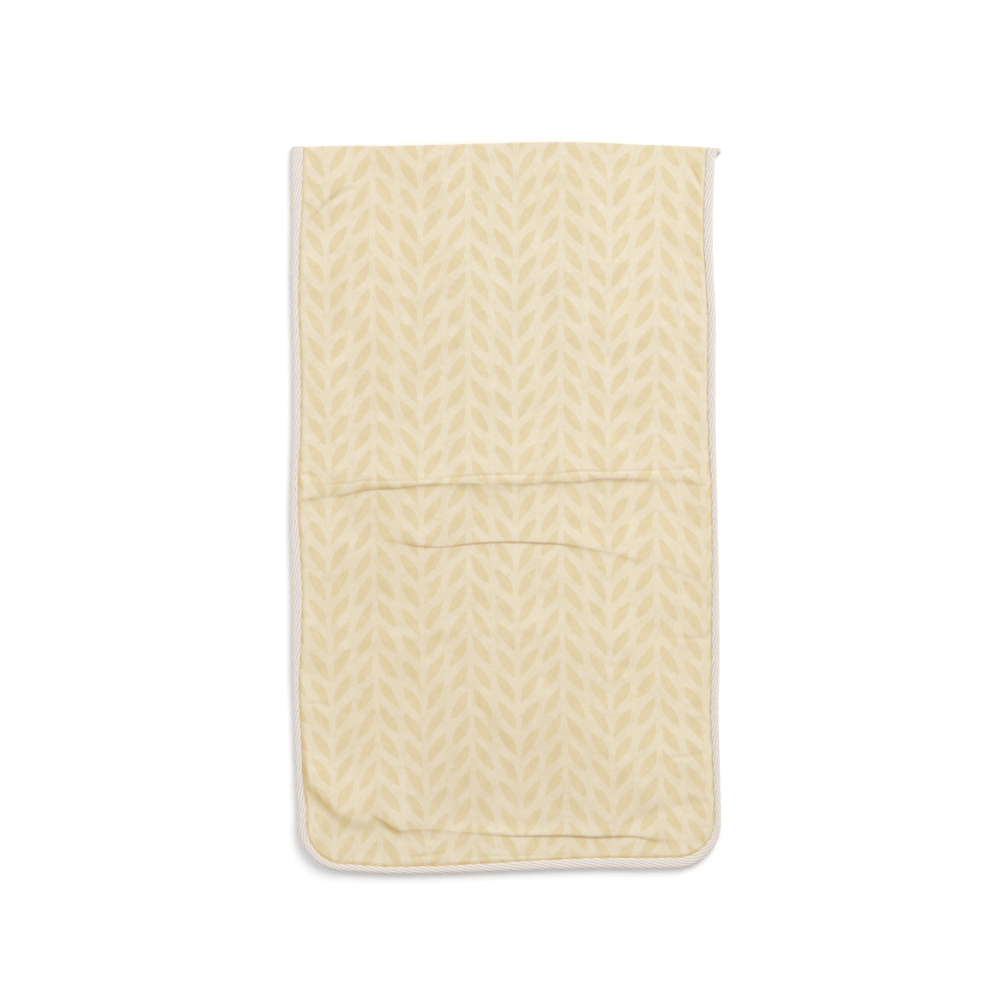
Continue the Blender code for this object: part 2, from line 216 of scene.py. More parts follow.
# The thin trough where the upper fold begins, above its tuck
UPPER_TROUGH = (  # x, y, depth
    (-127, 11.0, 0.0), (-110, 12.6, 0.06), (-105, 13.4, 0.2), (-97, 14.2, 0.23),
    (-89, 14.7, 0.23), (-84, 15.8, 0.28), (-77, 16.0, 0.2), (-66, 15.8, 0.2), (-54, 16.2, 0.11),
    (-41, 16.7, 0.2), (-33.5, 17.6, 0.2), (-24, 18.4, 0.35), (-16, 19.1, 0.38),
    (-8, 19.2, 0.35), (5, 19.4, 0.35), (20, 19.1, 0.2), (32.5, 20.2, 0.3), (40, 21.1, 0.42),
    (48, 21.3, 0.35), (61.5, 21.2, 0.3), (71.5, 21.6, 0.28), (81.5, 21.9, 0.3),
    (92.5, 21.9, 0.25), (107.5, 23.2, 0.2), (114, 23.6, 0.0), (127, 24.0, 0.0),
)
TROUGH_RUN = 1.0 * MM
TUCK_LIP = 0.35 * MM  # what a tuck's slope counts for beyond its run
TUCK_SPREADS = 24 * MM  # how far above and below its line a tuck has died away
TUCK_SETTLES = 13 * MM
SMALL_FOLDS = (  # start x, y, bend x, y, end x, y, rise, left run, right run
    (-122, 157, -109, 178, -88, 185, 0.7, 3.0, 5.0),
    (-30, 181, -27, 129, -30, 94, 0.7, 15.0, 7.0),
    (-30, 104, -24, 76, 16, 56, 0.6, 14.0, 7.0),
    (50, 187, 88, 161, 117, 136, -0.6, 8.0, 9.0),
    (82, 123, 102, 121.5, 119, 122, -0.3, 2.5, 6.0),
    (85, -4, 100, -6, 119, -7, -0.35, 4.0, 6.0),
    (-120, -88, -40, -68, 48, -72, 0.3, 4.0, 3.0),
    (-28, -99, -12, -125, 4, -145, -0.35, 3.0, 5.0),
    (-9, -161, 2, -172, 16, -176, -0.35, 4.0, 5.0),
    (92, -124, 105, -127, 120, -128, -0.35, 6.0, 6.0),
    (66, -189, 95, -177, 122, -173, -1.0, 4.5, 6.0),
    (-76, -190, -67, -197, -57, -209, 0.8, 4.0, 6.0),
)
SWELLS = (  # x, y, rise, width, length
    (-70, 110, 0.5, 45, 60),
    (55, 120, -0.5, 40, 60),
    (40, -80, 0.6, 50, 45),
    (-60, -100, -0.4, 45, 45),
    (95, -140, 0.6, 25, 40),
    (-5, 215, 0.8, 55, 22),
)
BACK_FOLD = (-122, 14, 0, 24, 122, 20, 1.3, 4.0, 3.5)
BACK_CREST = (  # x, y
    (-127, 13.6), (-60, 17.8), (0, 20.5), (60, 20.9), (127, 19.9),
)
BACK_CREST_ROWS = (6.0, 4.5, 3.2, 2.0, 1.0, 0.0, -1.0, -2.0, -3.2, -4.5, -6.0)
CORNER_LIFT = (-118, -205, 1.6, 34, 34)
CREST_POWER = 0.6

# Small creases of the front panel: thin troughs, and a few thin ridges
CREASES = (  # start x, y, bend x, y, end x, y, rise, left run, right run
    (-121, 160, -110, 182, -88, 189.5, -1.7, 0.9, 1.2),
    (108.5, 201.5, 113.5, 194.5, 117, 183, -0.7, 0.9, 1.6),
    (112, 192, 115, 183, 117, 172, 0.35, 1.2, 2.0),
    (106, 82.5, 113, 81, 119, 79, -0.5, 1.2, 2.5),
    (-121, 70, -115, 69, -109, 66.5, -0.5, 1.2, 2.5),
    (-122, 19.5, -116, 19.5, -107, 17.8, -0.5, 1.1, 1.3),
    (106, -1.0, 114, -1.8, 121, -1.6, -0.5, 1.0, 1.4),
    (109, -10, 115, -10.5, 121, -10, -0.3, 1.0, 1.3),
    (80, -33.6, 79.5, -60, 77, -86, -0.35, 1.0, 1.0),
    (88.5, -65.5, 88, -75, 87, -86, -0.3, 1.0, 1.0),
    (94, -76.5, 108, -77, 121, -76.5, -0.5, 1.0, 1.5),
    (54, -93, 66, -94, 79, -93, -0.3, 2.0, 4.0),
    (94, -148, 108, -147, 121, -144, -0.5, 1.0, 1.5),
    (-118, -115.5, -111, -115.5, -104, -116.5, -0.6, 1.0, 1.5),
    (-61, -206.5, -48, -206, -35, -203.5, -0.5, 1.0, 1.3),
    (-30, -206, 20, -205.5, 92, -204, -0.3, 0.9, 1.2),
    (114, -194, 117, -198, 120, -203, -0.6, 1.0, 1.3),
)

# The leaf print. Columns of leaves stand side by side, and each has its own start.
LEAF_STEP = 15.8 * MM
PRINT_FROM = 215.8 * MM
# Where the left border of each column lies at the upper part of the panel, as x
FIRST_BORDER = -3
COLUMN_BORDERS = (
    (-161.2, -147.3, -133.5, -119.8, -106.1, -92.3, -79.1, -64.9, -50.8, -36.6, -22.5)
    + (-8.6, 5.5, 19.1, 32.6, 46.9, 60.8, 74.8, 89.3, 103.4, 117.6, 131.4)
)
# How the print's columns drift down the panel
COLUMN_DRIFT = (  # y, sideways towards +X, narrowing towards x = 5.5 in thousandths
    (-200, 4.1, 13), (-182, 3.9, 13), (-163, 3.3, 13), (-137, 2.6, 14), (-106, 1.75, 15),
    (-74, 1.2, 12), (-42, 0.6, 11), (-4, 0.5, 11), (36, 0.4, 12), (63, 0.15, 11),
    (95, 0.15, 10), (127, 0.25, 5), (159, 0.4, 1), (190, 0.65, 0), (215, 0.8, 0),
)
COLUMNS_NARROW_TO = 5.5 * MM
# How much cloth each tuck hides
TUCK_HIDES = (  # x, upper, middle, lower
    (-127, 3.0, 0.0, 0.0), (-105, 3.2, 0.0, 0.3), (-78, 4.3, 0.0, 0.6), (-50, 3.95, 1.0, 0.8),
    (-22, 4.1, 1.7, 0.8), (6, 3.3, 2.4, 0.8), (33, 3.95, 1.3, 0.8), (61, 3.2, 0.45, 0.8),
    (88, 2.1, 0.0, 0.4), (108, 1.3, 0.0, 0.1), (127, 0.9, 0.0, 0.0),
)
TUCK_HIDES_WITHIN = 0.5 * MM
# How far the print has slipped up the panel, besides
PRINT_SLIP = (  # y, slip
    (-215, 0.45), (-182, 0.45), (-163, 0.4), (-137, 0.15), (-106, -0.15), (-74, -0.6),
    (-42, -0.7), (-4, -0.7), (36, -0.7), (63, -0.75), (95, -0.75), (127, -0.6), (159, -0.45),
    (190, -0.35), (215, -0.2),
)
# Painted warm shade towards the foot, where the light is dimmer: where it starts and is full, as y
FOOT_SHADE_FROM = 160 * MM
FOOT_SHADE_TO = -130 * MM
PRINT_WANDERS = (0.03, 0.03, 0.0)
# The powers that bend a leaf's two sides, where leaves slant up to their stem and down to it
LEFT_POWERS = (3.2, 2.1)
RIGHT_POWERS = (2.15, 3.2)
PRINT_SLOTS = 24
FIRST_COLUMN = -2
# From the mouth down to the middle of each column's first leaf, from the leftmost column on
LEAF_STARTS = (
    (6.5, 5.9),
    (11.85, 10.1, 15.1, 12.7),
    (2.7, 15.6, 5.7, 4.5),
    (12.2, 12.0, 3.25, 4.1),
    (13.2, 13.8, 6.2, 6.1),
    (14.4, 14.2, 11.4),
)

# Grids
FRONT_COLUMNS = 172
FRONT_ROWS_BETWEEN = (150, 4, 26, 128, 26)  # from the mouth to the foot, between the lines
FRONT_KEEP = 3
BACK_COLUMNS = 64
BACK_ROWS_BETWEEN = (50, 52)
BACK_KEEP = 1
TUCK_ROWS = (  # distance from a tuck's line, above it
    (1.6, 1.3, 1.05, 0.8, 0.6, 0.42, 0.28, 0.16, 0.06, -0.04, -0.14, -0.26),
    (-0.4, -0.56, -0.75, -1.0, -1.3, -1.7, -2.2, -2.8, -3.6),
)
TROUGH_ROWS = (2.6, 1.9, 1.3, 0.9, 0.6, 0.3, 0.0, -0.3, -0.6, -0.85)
CLOSER_AT_SIDES = 0.6
CLOSER_AT_FOOT = 1.6
PLACE_CORRECTIONS = 4
KEPT_BELOW = 0.6 * MM  # rows closer than this are kept in the underside too
LIP_STEPS = 6
CURVE_STEPS = 48
TAPE_ROW_STEP = 0.85 * MM
TOP_LEG_POINTS = 20
FOLD_POINTS = 32
BOTTOM_LEG_POINTS = 7
INNER_POINTS = 8

# Painted warm shade on slopes that rise this way, away from the key light; the slope that counts as
# full
PAINTED_SHADE_SIDE = (0.63, 0.76)
FULL_SLOPE = 0.55

# The tape: how full its fold is, how its front edge sinks, its selvedges, its ribs and stitches
FOLD_FULLNESS = 2.6
EDGE_DROOP = 0.7 * MM
EDGE_DROOP_RUN = 1.5 * MM
EDGE_DROOP_INSIDE = 0.25 * MM
SELVEDGE = 0.3 * MM
RIBS_WANDER = 0.45 * MM
RIB_WAVES = ((1.0, 31 * MM, 0), (0.6, 9.7 * MM, 1))
EDGE_WAVES = ((0.10, 5.1 * MM, 0), (0.08, 2.3 * MM, 1))
STITCH_LENGTH = 0.86  # share of the pitch

# The stage: the floor, and each soft light's width and place
WHITE = (1.0, 1.0, 1.0, 1)
FLOOR_HALF = 4.0
FLOOR_LEVEL = -0.05 * MM
LIGHTS = (
    ("key", 2.0, (1.2, 1.45, 1.9)),
    ("fill", 0.8, (-1.2, 0.0, 0.45)),
)


def from_table(table, column, at):
    """A smooth curve through one column of a table in millimetres, read at lengths in metres.

    Between two rows it is the cubic that leaves each row with the slope of its neighbours.
    """
    rows = np.array(table, float) * MM
    keys, values = rows[:, 0], rows[:, column]
    slopes = np.gradient(values, keys)
    at = np.clip(at, keys[0], keys[-1])
    i = np.clip(np.searchsorted(keys, at) - 1, 0, len(keys) - 2)
    step = keys[i + 1] - keys[i]
    t = (at - keys[i]) / step
    start = (1 + 2 * t) * (1 - t) ** 2 * values[i] + t * (1 - t) ** 2 * step * slopes[i]
    end = t * t * (3 - 2 * t) * values[i + 1] + t * t * (t - 1) * step * slopes[i + 1]
    return start + end


def eased(t):
    """0 before 0, 1 after 1, and a smooth S between them."""
    t = np.clip(t, 0, 1)
    return t * t * (3 - 2 * t)


def edge_point(way, inset):
    """The cut's point at a way round the bound edge, and an inset from the outline.

    Straight down the side, a quarter circle about the corner's centre, and straight along the
    foot. The right half mirrors the left half.
    """
    way, inset = np.broadcast_arrays(np.asarray(way, float), np.asarray(inset, float))
    half, foot = CUT_WIDTH / 2, -CUT_LENGTH / 2
    right = way > ROUND / 2
    down = np.where(right, ROUND - way, way)
    turn = np.clip((down - SIDE) / CORNER_RADIUS, 0, math.pi / 2)
    radius = CORNER_RADIUS - inset
    across = -half + CORNER_RADIUS - radius * np.cos(turn)
    along = foot + CORNER_RADIUS - radius * np.sin(turn)
    along += np.maximum(SIDE - down, 0)
    across += np.maximum(down - SIDE - QUARTER, 0)
    return np.where(right, -across, across), along


def lie(across, along):
    """Where a point of the cut lies: the drifts of the four edges, mixed by its share of each."""
    share_right = across / CUT_WIDTH + 0.5
    share_mouth = along / CUT_LENGTH + 0.5
    left, right = from_table(SIDE_DRIFT, 1, along), from_table(SIDE_DRIFT, 2, along)
    foot, mouth = from_table(END_DRIFT, 1, across), from_table(END_DRIFT, 2, across)
    x = across + left + (right - left) * share_right
    y = along + foot + (mouth - foot) * share_mouth
    return x, y


def beyond_corner(across, along):
    """How far a point of the cut is past the foot corner's centre, to its side and its foot."""
    beyond_side = np.abs(across) - (CUT_WIDTH / 2 - CORNER_RADIUS)
    return beyond_side, (CORNER_RADIUS - CUT_LENGTH / 2) - along


def inset_of(across, along):
    """How far a point of the cut lies inside the outline, the open mouth not counted."""
    beyond_side, beyond_foot = beyond_corner(across, along)
    corner = np.hypot(np.maximum(beyond_side, 0), np.maximum(beyond_foot, 0))
    inner = np.minimum(np.maximum(beyond_side, beyond_foot), 0)
    return CORNER_RADIUS - corner - inner


def way_of(across, along):
    """The way of the outline's point nearest to a point of the cut."""
    beyond_side, beyond_foot = beyond_corner(across, along)
    turn = np.arctan2(np.maximum(beyond_foot, 0), np.maximum(beyond_side, 1e-9))
    in_corner = SIDE + CORNER_RADIUS * turn
    down_side = CUT_LENGTH / 2 - along
    on_foot = SIDE + QUARTER - np.minimum(beyond_side, 0)
    down = np.where(beyond_foot <= 0, down_side, np.where(beyond_side <= 0, on_foot, in_corner))
    down = np.where((beyond_side > beyond_foot) & (beyond_side <= 0), down_side, down)
    return np.where(across > 0, ROUND - down, down)


def fold_height(x, y, fold):
    """The height of one fold: a crest along a bent line, falling away like a bell each side.

    The line is a quadratic curve. The crest follows a power of half a sine wave: highest
    halfway, and nothing at both ends of the line.
    """
    x0, y0, x1, y1, x2, y2, rise, left_run, right_run = np.array(fold, float) * MM
    t = np.linspace(0, 1, CURVE_STEPS)
    line_x = (1 - t) ** 2 * x0 + 2 * t * (1 - t) * x1 + t * t * x2
    line_y = (1 - t) ** 2 * y0 + 2 * t * (1 - t) * y1 + t * t * y2
    nearest = np.full(x.shape, np.inf)
    height = np.zeros(x.shape)
    for k in range(CURVE_STEPS - 1):
        dx, dy = line_x[k + 1] - line_x[k], line_y[k + 1] - line_y[k]
        share = ((x - line_x[k]) * dx + (y - line_y[k]) * dy) / (dx * dx + dy * dy)
        share = np.clip(share, 0, 1)
        off_x, off_y = x - line_x[k] - share * dx, y - line_y[k] - share * dy
        away = np.hypot(off_x, off_y)
        run = np.where(dx * off_y - dy * off_x > 0, left_run, right_run)
        along_fold = np.clip((k + share) / (CURVE_STEPS - 1), 0, 1)
        crest = rise * np.abs(np.sin(math.pi * along_fold)) ** CREST_POWER
        here = crest * np.exp(-((away / run) ** 2))
        height = np.where(away < nearest, here, height)
        nearest = np.minimum(away, nearest)
    return height


def swell_height(x, y, swell):
    """The height of one broad swell: a bell of its own width and length."""
    at_x, at_y, rise, width, length = np.array(swell, float) * MM
    return rise * np.exp(-(((x - at_x) / width) ** 2) - ((y - at_y) / length) ** 2)


def unevenness(x, y, scale, seed):
    """Smooth noise between about -1 and 1: a sum of plane waves of like length, all directions."""
    rng = np.random.default_rng(seed)
    total = np.zeros(x.shape)
    for heading in np.linspace(0, math.pi, 9)[:-1]:
        heading += rng.uniform(-0.2, 0.2)
        length = scale * rng.uniform(0.7, 1.5)
        across_waves = x * math.cos(heading) + y * math.sin(heading)
        total += np.sin(2 * math.pi * across_waves / length + rng.uniform(0, 2 * math.pi))
    return total / 3


def tuck_height(x, y, tuck):
    """The height of one tuck, by the distance above its line at the same x.

    On both sides the cloth leaves the line steeply and comes level as 1 less an exponential:
    upwards above the line, downwards below it. How far it goes is its slope times its run and
    a little more, the tuck's lip. All of it stands on its own drop, and a wide bell on each
    side brings it back to where the cloth lay.
    """
    above = y - from_table(tuck, 1, x)
    rise_run, drop_run = from_table(tuck, 3, x), from_table(tuck, 5, x)
    rise = from_table(tuck, 2, x) / MM * (rise_run + TUCK_LIP)
    drop = from_table(tuck, 4, x) / MM * (drop_run + TUCK_LIP)
    upper = rise * (1 - np.exp(-above.clip(0) / rise_run))
    lower = -drop * (1 - np.exp(above.clip(None, 0) / drop_run))
    spread = np.where(above > 0, TUCK_SPREADS, TUCK_SETTLES)
    return (drop + upper + lower) * np.exp(-((above / spread) ** 2))


def corner_height(x, y):
    """The soft slope in the foot corner: half a hyperbolic tangent up, and a wide bell back."""
    above = y - from_table(CORNER_SLOPE, 1, x)
    step = 0.5 + 0.5 * np.tanh(above / from_table(CORNER_SLOPE, 3, x))
    return from_table(CORNER_SLOPE, 2, x) * step * np.exp(-((above.clip(0) / TUCK_SPREADS) ** 2))


def trough_height(x, y):
    """The thin trough above the upper fold: a bell downwards about its line."""
    above = y - from_table(UPPER_TROUGH, 1, x)
    return -from_table(UPPER_TROUGH, 2, x) * np.exp(-((above / TROUGH_RUN) ** 2))


def front_underside(across, along, x, y, crease_depth, ripple):
    """The height of the front panel's underside.

    Pinched level in the tape, an S up to its own level further in, and on that the swells, the
    tucks, the slope in the foot corner, the trough, the thin creases, a faint unevenness, and
    short puckers that die away from the seam. Beside the tape the cloth also rolls up and
    settles again: 1 less an exponential, times a longer exponential.
    """
    inset = inset_of(across, along)
    way = way_of(across, along)
    uneven = 1 - eased((inset - REACH_EVENS_FROM) / REACH_EVENS_OUT)
    reach = MEAN_REACH + (from_table(TAPE_REACH, 1, way) - MEAN_REACH) * uneven
    past_tape = inset - reach - CLEAR_OF_TAPE
    level = FRONT_LEVEL + (FRONT_RISES_TO - FRONT_LEVEL) * eased(past_tape / FRONT_SWELLS)
    relief = sum(swell_height(x, y, swell) for swell in SWELLS)
    relief = relief + sum(tuck_height(x, y, tuck) for tuck in TUCKS) + corner_height(x, y)
    relief = relief + sum(fold_height(x, y, fold) for fold in SMALL_FOLDS)
    relief = relief + crease_depth * trough_height(x, y)
    relief = relief + crease_depth * sum(fold_height(x, y, crease) for crease in CREASES)
    for scale, seed, share in FAINT_WAVES:
        relief = relief + share * ripple * unevenness(x, y, scale, seed)
    past = past_tape.clip(0)
    pucker = np.sin(2 * math.pi * way / PUCKER_STEP + 2 * unevenness(x, y, PUCKERS_STRAY, 2))
    relief = relief + ripple * pucker * np.exp(-past / PUCKERS_SETTLE)
    roll = SEAM_ROLL * (1 - np.exp(-past / SEAM_ROLL_RISES)) * np.exp(-past / SEAM_ROLL_SETTLES)
    relief = relief * eased(past_tape / FOLDS_START)
    return level + relief + roll + swell_height(x, y, CORNER_LIFT)


def back_underside(across, along, x, y):
    """The height of the back panel's underside: raised in the tape, on the surface further in."""
    past_tape = inset_of(across, along) - UNDER_REACH - CLEAR_OF_TAPE
    level = BACK_LEVEL * (1 - eased(past_tape / BACK_SETTLES))
    relief = fold_height(x, y, BACK_FOLD) * eased(past_tape / FOLDS_START)
    lift = swell_height(x, y, CORNER_LIFT)
    relief, lift = (np.where(part < LIES_FLAT_BELOW, 0, part) for part in (relief, lift))
    return level + relief + lift


def half_width(along):
    """Half the width of the panel's cut at a distance along it, round corners counted."""
    into_corner = np.maximum(CORNER_RADIUS - CUT_LENGTH / 2 - along, 0)
    radius = CORNER_RADIUS - RAW_EDGE
    reach = np.sqrt(np.maximum(radius**2 - into_corner**2, 0))
    return CUT_WIDTH / 2 - CORNER_RADIUS + reach


def panel_cut(mouth, guides, rows_between, columns):
    """The cut's points of a whole panel, in rows that run along given lines as they lie.

    The first row is the mouth and the last the foot. Near each line the rows keep given
    distances from it, and between two lines they share the room out evenly, closer together
    towards the foot. A row's points stand closer together towards both sides. As the lines are
    given where they lie, each point's place on the cut is found by correcting it a few times.
    """
    even = np.linspace(-1, 1, columns + 1)
    share = (1 - CLOSER_AT_SIDES) * even + CLOSER_AT_SIDES * np.sin(math.pi / 2 * even)
    foot = RAW_EDGE - CUT_LENGTH / 2
    ends = [
        lie(share * half_width(along), np.full(share.shape, along))[1] for along in (mouth, foot)
    ]
    x = share * half_width(0.0)
    bands = [ends[0][None]]
    for line, offsets in guides:
        bands.append(from_table(line, 1, x) + np.array(offsets)[:, None] * MM)
    bands.append(ends[1][None])
    rows = [bands[0]]
    for k, count in enumerate(rows_between):
        t = np.linspace(0, 1, count + 2)[1:-1, None]
        if k == len(rows_between) - 1:
            t = 1 - (1 - t) ** CLOSER_AT_FOOT
        rows.append((1 - t) * bands[k][-1] + t * bands[k + 1][0])
        rows.append(bands[k + 1])
    y = np.concatenate(rows)
    along = y.copy()
    for _ in range(PLACE_CORRECTIONS):
        across = share * half_width(along)
        along = np.clip(along + y - lie(across, along)[1], foot, mouth)
    along[0], along[-1] = mouth, foot
    return share * half_width(along), along


def run_along(points, axis):
    """The length of the surface from the first row or column to each point."""
    steps = np.linalg.norm(np.diff(points, axis=axis), axis=2)
    zero = np.zeros_like(np.take(steps, [0], axis=axis))
    return np.cumsum(np.concatenate([zero, steps], axis=axis), axis=axis)


def print_place(points):
    """Where each point falls in the print, as (number of columns, number of leaf steps).

    A column's number comes from the point's x, with the drift at its y taken off. Leaf steps
    are counted down from the mouth, and each tuck passed adds the cloth that it hides.
    """
    x, y = points[..., 0], points[..., 1]
    borders = [(border, number) for number, border in enumerate(COLUMN_BORDERS, FIRST_BORDER)]
    narrowing = 1 - from_table(COLUMN_DRIFT, 2, y)
    upper_x = (x - from_table(COLUMN_DRIFT, 1, y) - COLUMNS_NARROW_TO) / narrowing
    column = from_table(borders, 1, upper_x + COLUMNS_NARROW_TO) / MM
    down = PRINT_FROM - y + from_table(PRINT_SLIP, 1, y)
    for k, tuck in enumerate(TUCKS):
        below = from_table(tuck, 1, x) - y
        down += from_table(TUCK_HIDES, k + 1, x) * eased(below / TUCK_HIDES_WITHIN + 0.5)
    return np.stack([column, down / LEAF_STEP], axis=2)


def painted_fold_shade(points, painted_seam_shade):
    """How much warm shade to paint at each point, as (share, 0): how far its surface slopes down
    towards the foot and the left, away from the key light.

    The surface's normal is the cross product of its two directions. The share is the slope
    towards the lower left over a full one, from 0 for level to 1. Right beside the tape the
    painted seam shade is added to it.
    """
    normal = np.cross(np.gradient(points, axis=0), np.gradient(points, axis=1))
    towards = normal[..., 0] * PAINTED_SHADE_SIDE[0] + normal[..., 1] * PAINTED_SHADE_SIDE[1]
    slope = -towards / np.maximum(normal[..., 2], 1e-15)
    share = np.clip(slope / FULL_SLOPE + painted_seam_shade, 0, 1)
    return np.stack([share, 0 * share], axis=2)


def grid_faces(rows, columns, wrap_rows=False, wrap_columns=False):
    """The four-cornered faces of a grid of points numbered row by row."""
    here = np.arange(rows if wrap_rows else rows - 1)
    side = np.arange(columns if wrap_columns else columns - 1)
    next_row = (here + 1) % rows
    next_column = (side + 1) % columns
    corners = (
        here[:, None] * columns + side,
        next_row[:, None] * columns + side,
        next_row[:, None] * columns + next_column,
        here[:, None] * columns + next_column,
    )
    return np.stack(corners, axis=2).reshape(-1, 4)


def new_piece(name, points, face_sets, maps, material, smooth=True):
    """A mesh object at the origin from points, sets of like faces, and maps of the points."""
    if not np.isfinite(points).all():
        raise RuntimeError(f"{name} has points that are nowhere")
    corners = np.concatenate([faces.ravel() for faces in face_sets]).astype(np.int32)
    counts = np.concatenate([np.full(len(faces), faces.shape[1]) for faces in face_sets])
    mesh = bpy.data.meshes.new(name)
    mesh.vertices.add(len(points))
    mesh.vertices.foreach_set("co", np.asarray(points, np.float32).ravel())
    mesh.loops.add(len(corners))
    mesh.loops.foreach_set("vertex_index", corners)
    mesh.polygons.add(len(counts))
    mesh.polygons.foreach_set("loop_start", (np.cumsum(counts) - counts).astype(np.int32))
    mesh.update(calc_edges=True)
    for map_name, places in maps.items():
        layer = mesh.uv_layers.new(name=map_name)
        layer.uv.foreach_set("vector", places[corners].astype(np.float32).ravel())
    mesh.validate()
    if smooth:
        mesh.shade_smooth()
        mesh.set_sharp_from_angle(angle=math.radians(50))
    mesh.materials.append(material)
    piece = bpy.data.objects.new(name, mesh)
    bpy.context.scene.collection.objects.link(piece)
    return piece


def seam(fine, coarse, kept):
    """Triangles between two rows of points, the coarse one being some of the fine one's.

    Each step of the fine row joins the kept point nearest to it, and each step of the coarse
    row joins the fine point where its turn comes.
    """
    step = np.arange(len(fine) - 1) + 0.5
    nearest = np.clip(np.searchsorted((kept[1:] + kept[:-1]) / 2, step), 0, len(kept) - 1)
    fine_side = np.stack([fine[:-1], fine[1:], coarse[nearest]], axis=1)
    nearest = np.append(nearest, len(kept) - 1)
    turn = np.nonzero(np.diff(nearest))[0]
    coarse_side = np.stack([coarse[nearest[turn]], fine[turn + 1], coarse[nearest[turn + 1]]], 1)
    return np.concatenate([fine_side, coarse_side])


def kept_of(count, every):
    """Every so many of a number of places, with the last one always kept."""
    return np.unique(np.append(np.arange(0, count, every), count - 1))


def sheet_piece(name, x, y, underside, painted_seam_shade, every, material):
    """A closed sheet: a top skin, an underside, a round lip at the mouth and plain cut sides.

    The top is the underside raised by the cloth. The lip is half a circle about the sheet's
    middle. The underside keeps only some of the top's rows and columns.
    """
    top = np.stack([x, y, underside + CLOTH], axis=2)
    turns = np.linspace(-math.pi / 2, math.pi / 2, LIP_STEPS + 2)[1:-1]
    half = CLOTH / 2
    out = np.stack([np.zeros(LIP_STEPS), half * np.cos(turns), half * (np.sin(turns) - 1)], 1)
    skin = np.concatenate([top[0][None] + out[:, None], top])
    rows, columns = skin.shape[:2]
    close = np.linalg.norm(np.diff(top[:, columns // 2], axis=0), axis=1) < KEPT_BELOW
    kept_rows = np.union1d(kept_of(len(top), every), np.nonzero(close)[0])
    kept_columns = kept_of(columns, every)
    below = top[kept_rows][:, kept_columns] - (0, 0, CLOTH)

    print_map = print_place(top)
    print_lip = np.repeat(print_map[:1], LIP_STEPS, axis=0)
    cloth_map = np.stack([run_along(top, 1), run_along(top, 0)], axis=2)
    cloth_lip = np.repeat(cloth_map[:1], LIP_STEPS, axis=0)
    # The folds map holds the share of painted warm shade
    fold_shade_map = painted_fold_shade(top, painted_seam_shade)
    fold_shade_lip = np.repeat(fold_shade_map[:1], LIP_STEPS, axis=0)
    maps = {}
    for map_name, lip, whole in (
        ("print", print_lip, print_map),
        ("cloth", cloth_lip, cloth_map),
        ("folds", fold_shade_lip, fold_shade_map),
    ):
        parts = (lip, whole, whole[kept_rows][:, kept_columns])
        maps[map_name] = np.concatenate([part.reshape(-1, 2) for part in parts])

    fine = np.arange(rows * columns).reshape(rows, columns)
    coarse = rows * columns + np.arange(below.size // 3).reshape(below.shape[:2])
    level = rows * columns + grid_faces(*below.shape[:2])
    side_rows = kept_rows + LIP_STEPS
    side_rows[0] = 0
    left = seam(fine[:, 0], coarse[:, 0], side_rows)
    right = seam(fine[:, -1], coarse[:, -1], side_rows)
    mouth = seam(fine[0], coarse[0], kept_columns)
    foot = seam(fine[-1], coarse[-1], kept_columns)
    sets = [grid_faces(rows, columns), level[:, ::-1]]
    sets += [left[:, ::-1], right, mouth, foot[:, ::-1]]
    points = np.concatenate([skin.reshape(-1, 3), below.reshape(-1, 3)])
    return new_piece(name, points, sets, maps, material)


def tape_outwards(way):
    """How far the tape's two cut ends have splayed outwards."""
    return from_table(NEAT_END, 1, way - TAPE_START) + from_table(FRAYED_END, 1, TAPE_END - way)


def tape_place(way, inset, height):
    """The lying place of points given by way, inset from the tape's outer fold, and height."""
    inset = inset - tape_outwards(way) * np.clip(1 - inset / UNDER_REACH, 0, 1)
    inside = np.clip(way, 0, ROUND)
    across, along = edge_point(inside, inset)
    x, y = lie(across, along + np.abs(way - inside))
    return np.stack([x, y, height + swell_height(x, y, CORNER_LIFT)], axis=-1)


def waver(way, waves):
    """A sum of sines along the way. Each wave is a share of the height, a run and a start."""
    return sum(share * np.sin(way / run + start) for share, run, start in waves)


def rib_course(sizes):
    """The ribs' slant to the tape's length, and their pitch across the tape."""
    return math.tan(sizes.rib_angle), sizes.rib_pitch / math.cos(sizes.rib_angle)


def tape_reach(way):
    """The tape's reach over the front, with a small waver of its woven edge."""
    return from_table(TAPE_REACH, 1, way) + waver(way, EDGE_WAVES) * MM


def tape_droop(run):
    """How far the tape's front edge sinks to the cloth: a bell of the run from that edge."""
    return EDGE_DROOP * np.exp(-((run / EDGE_DROOP_RUN) ** 2))


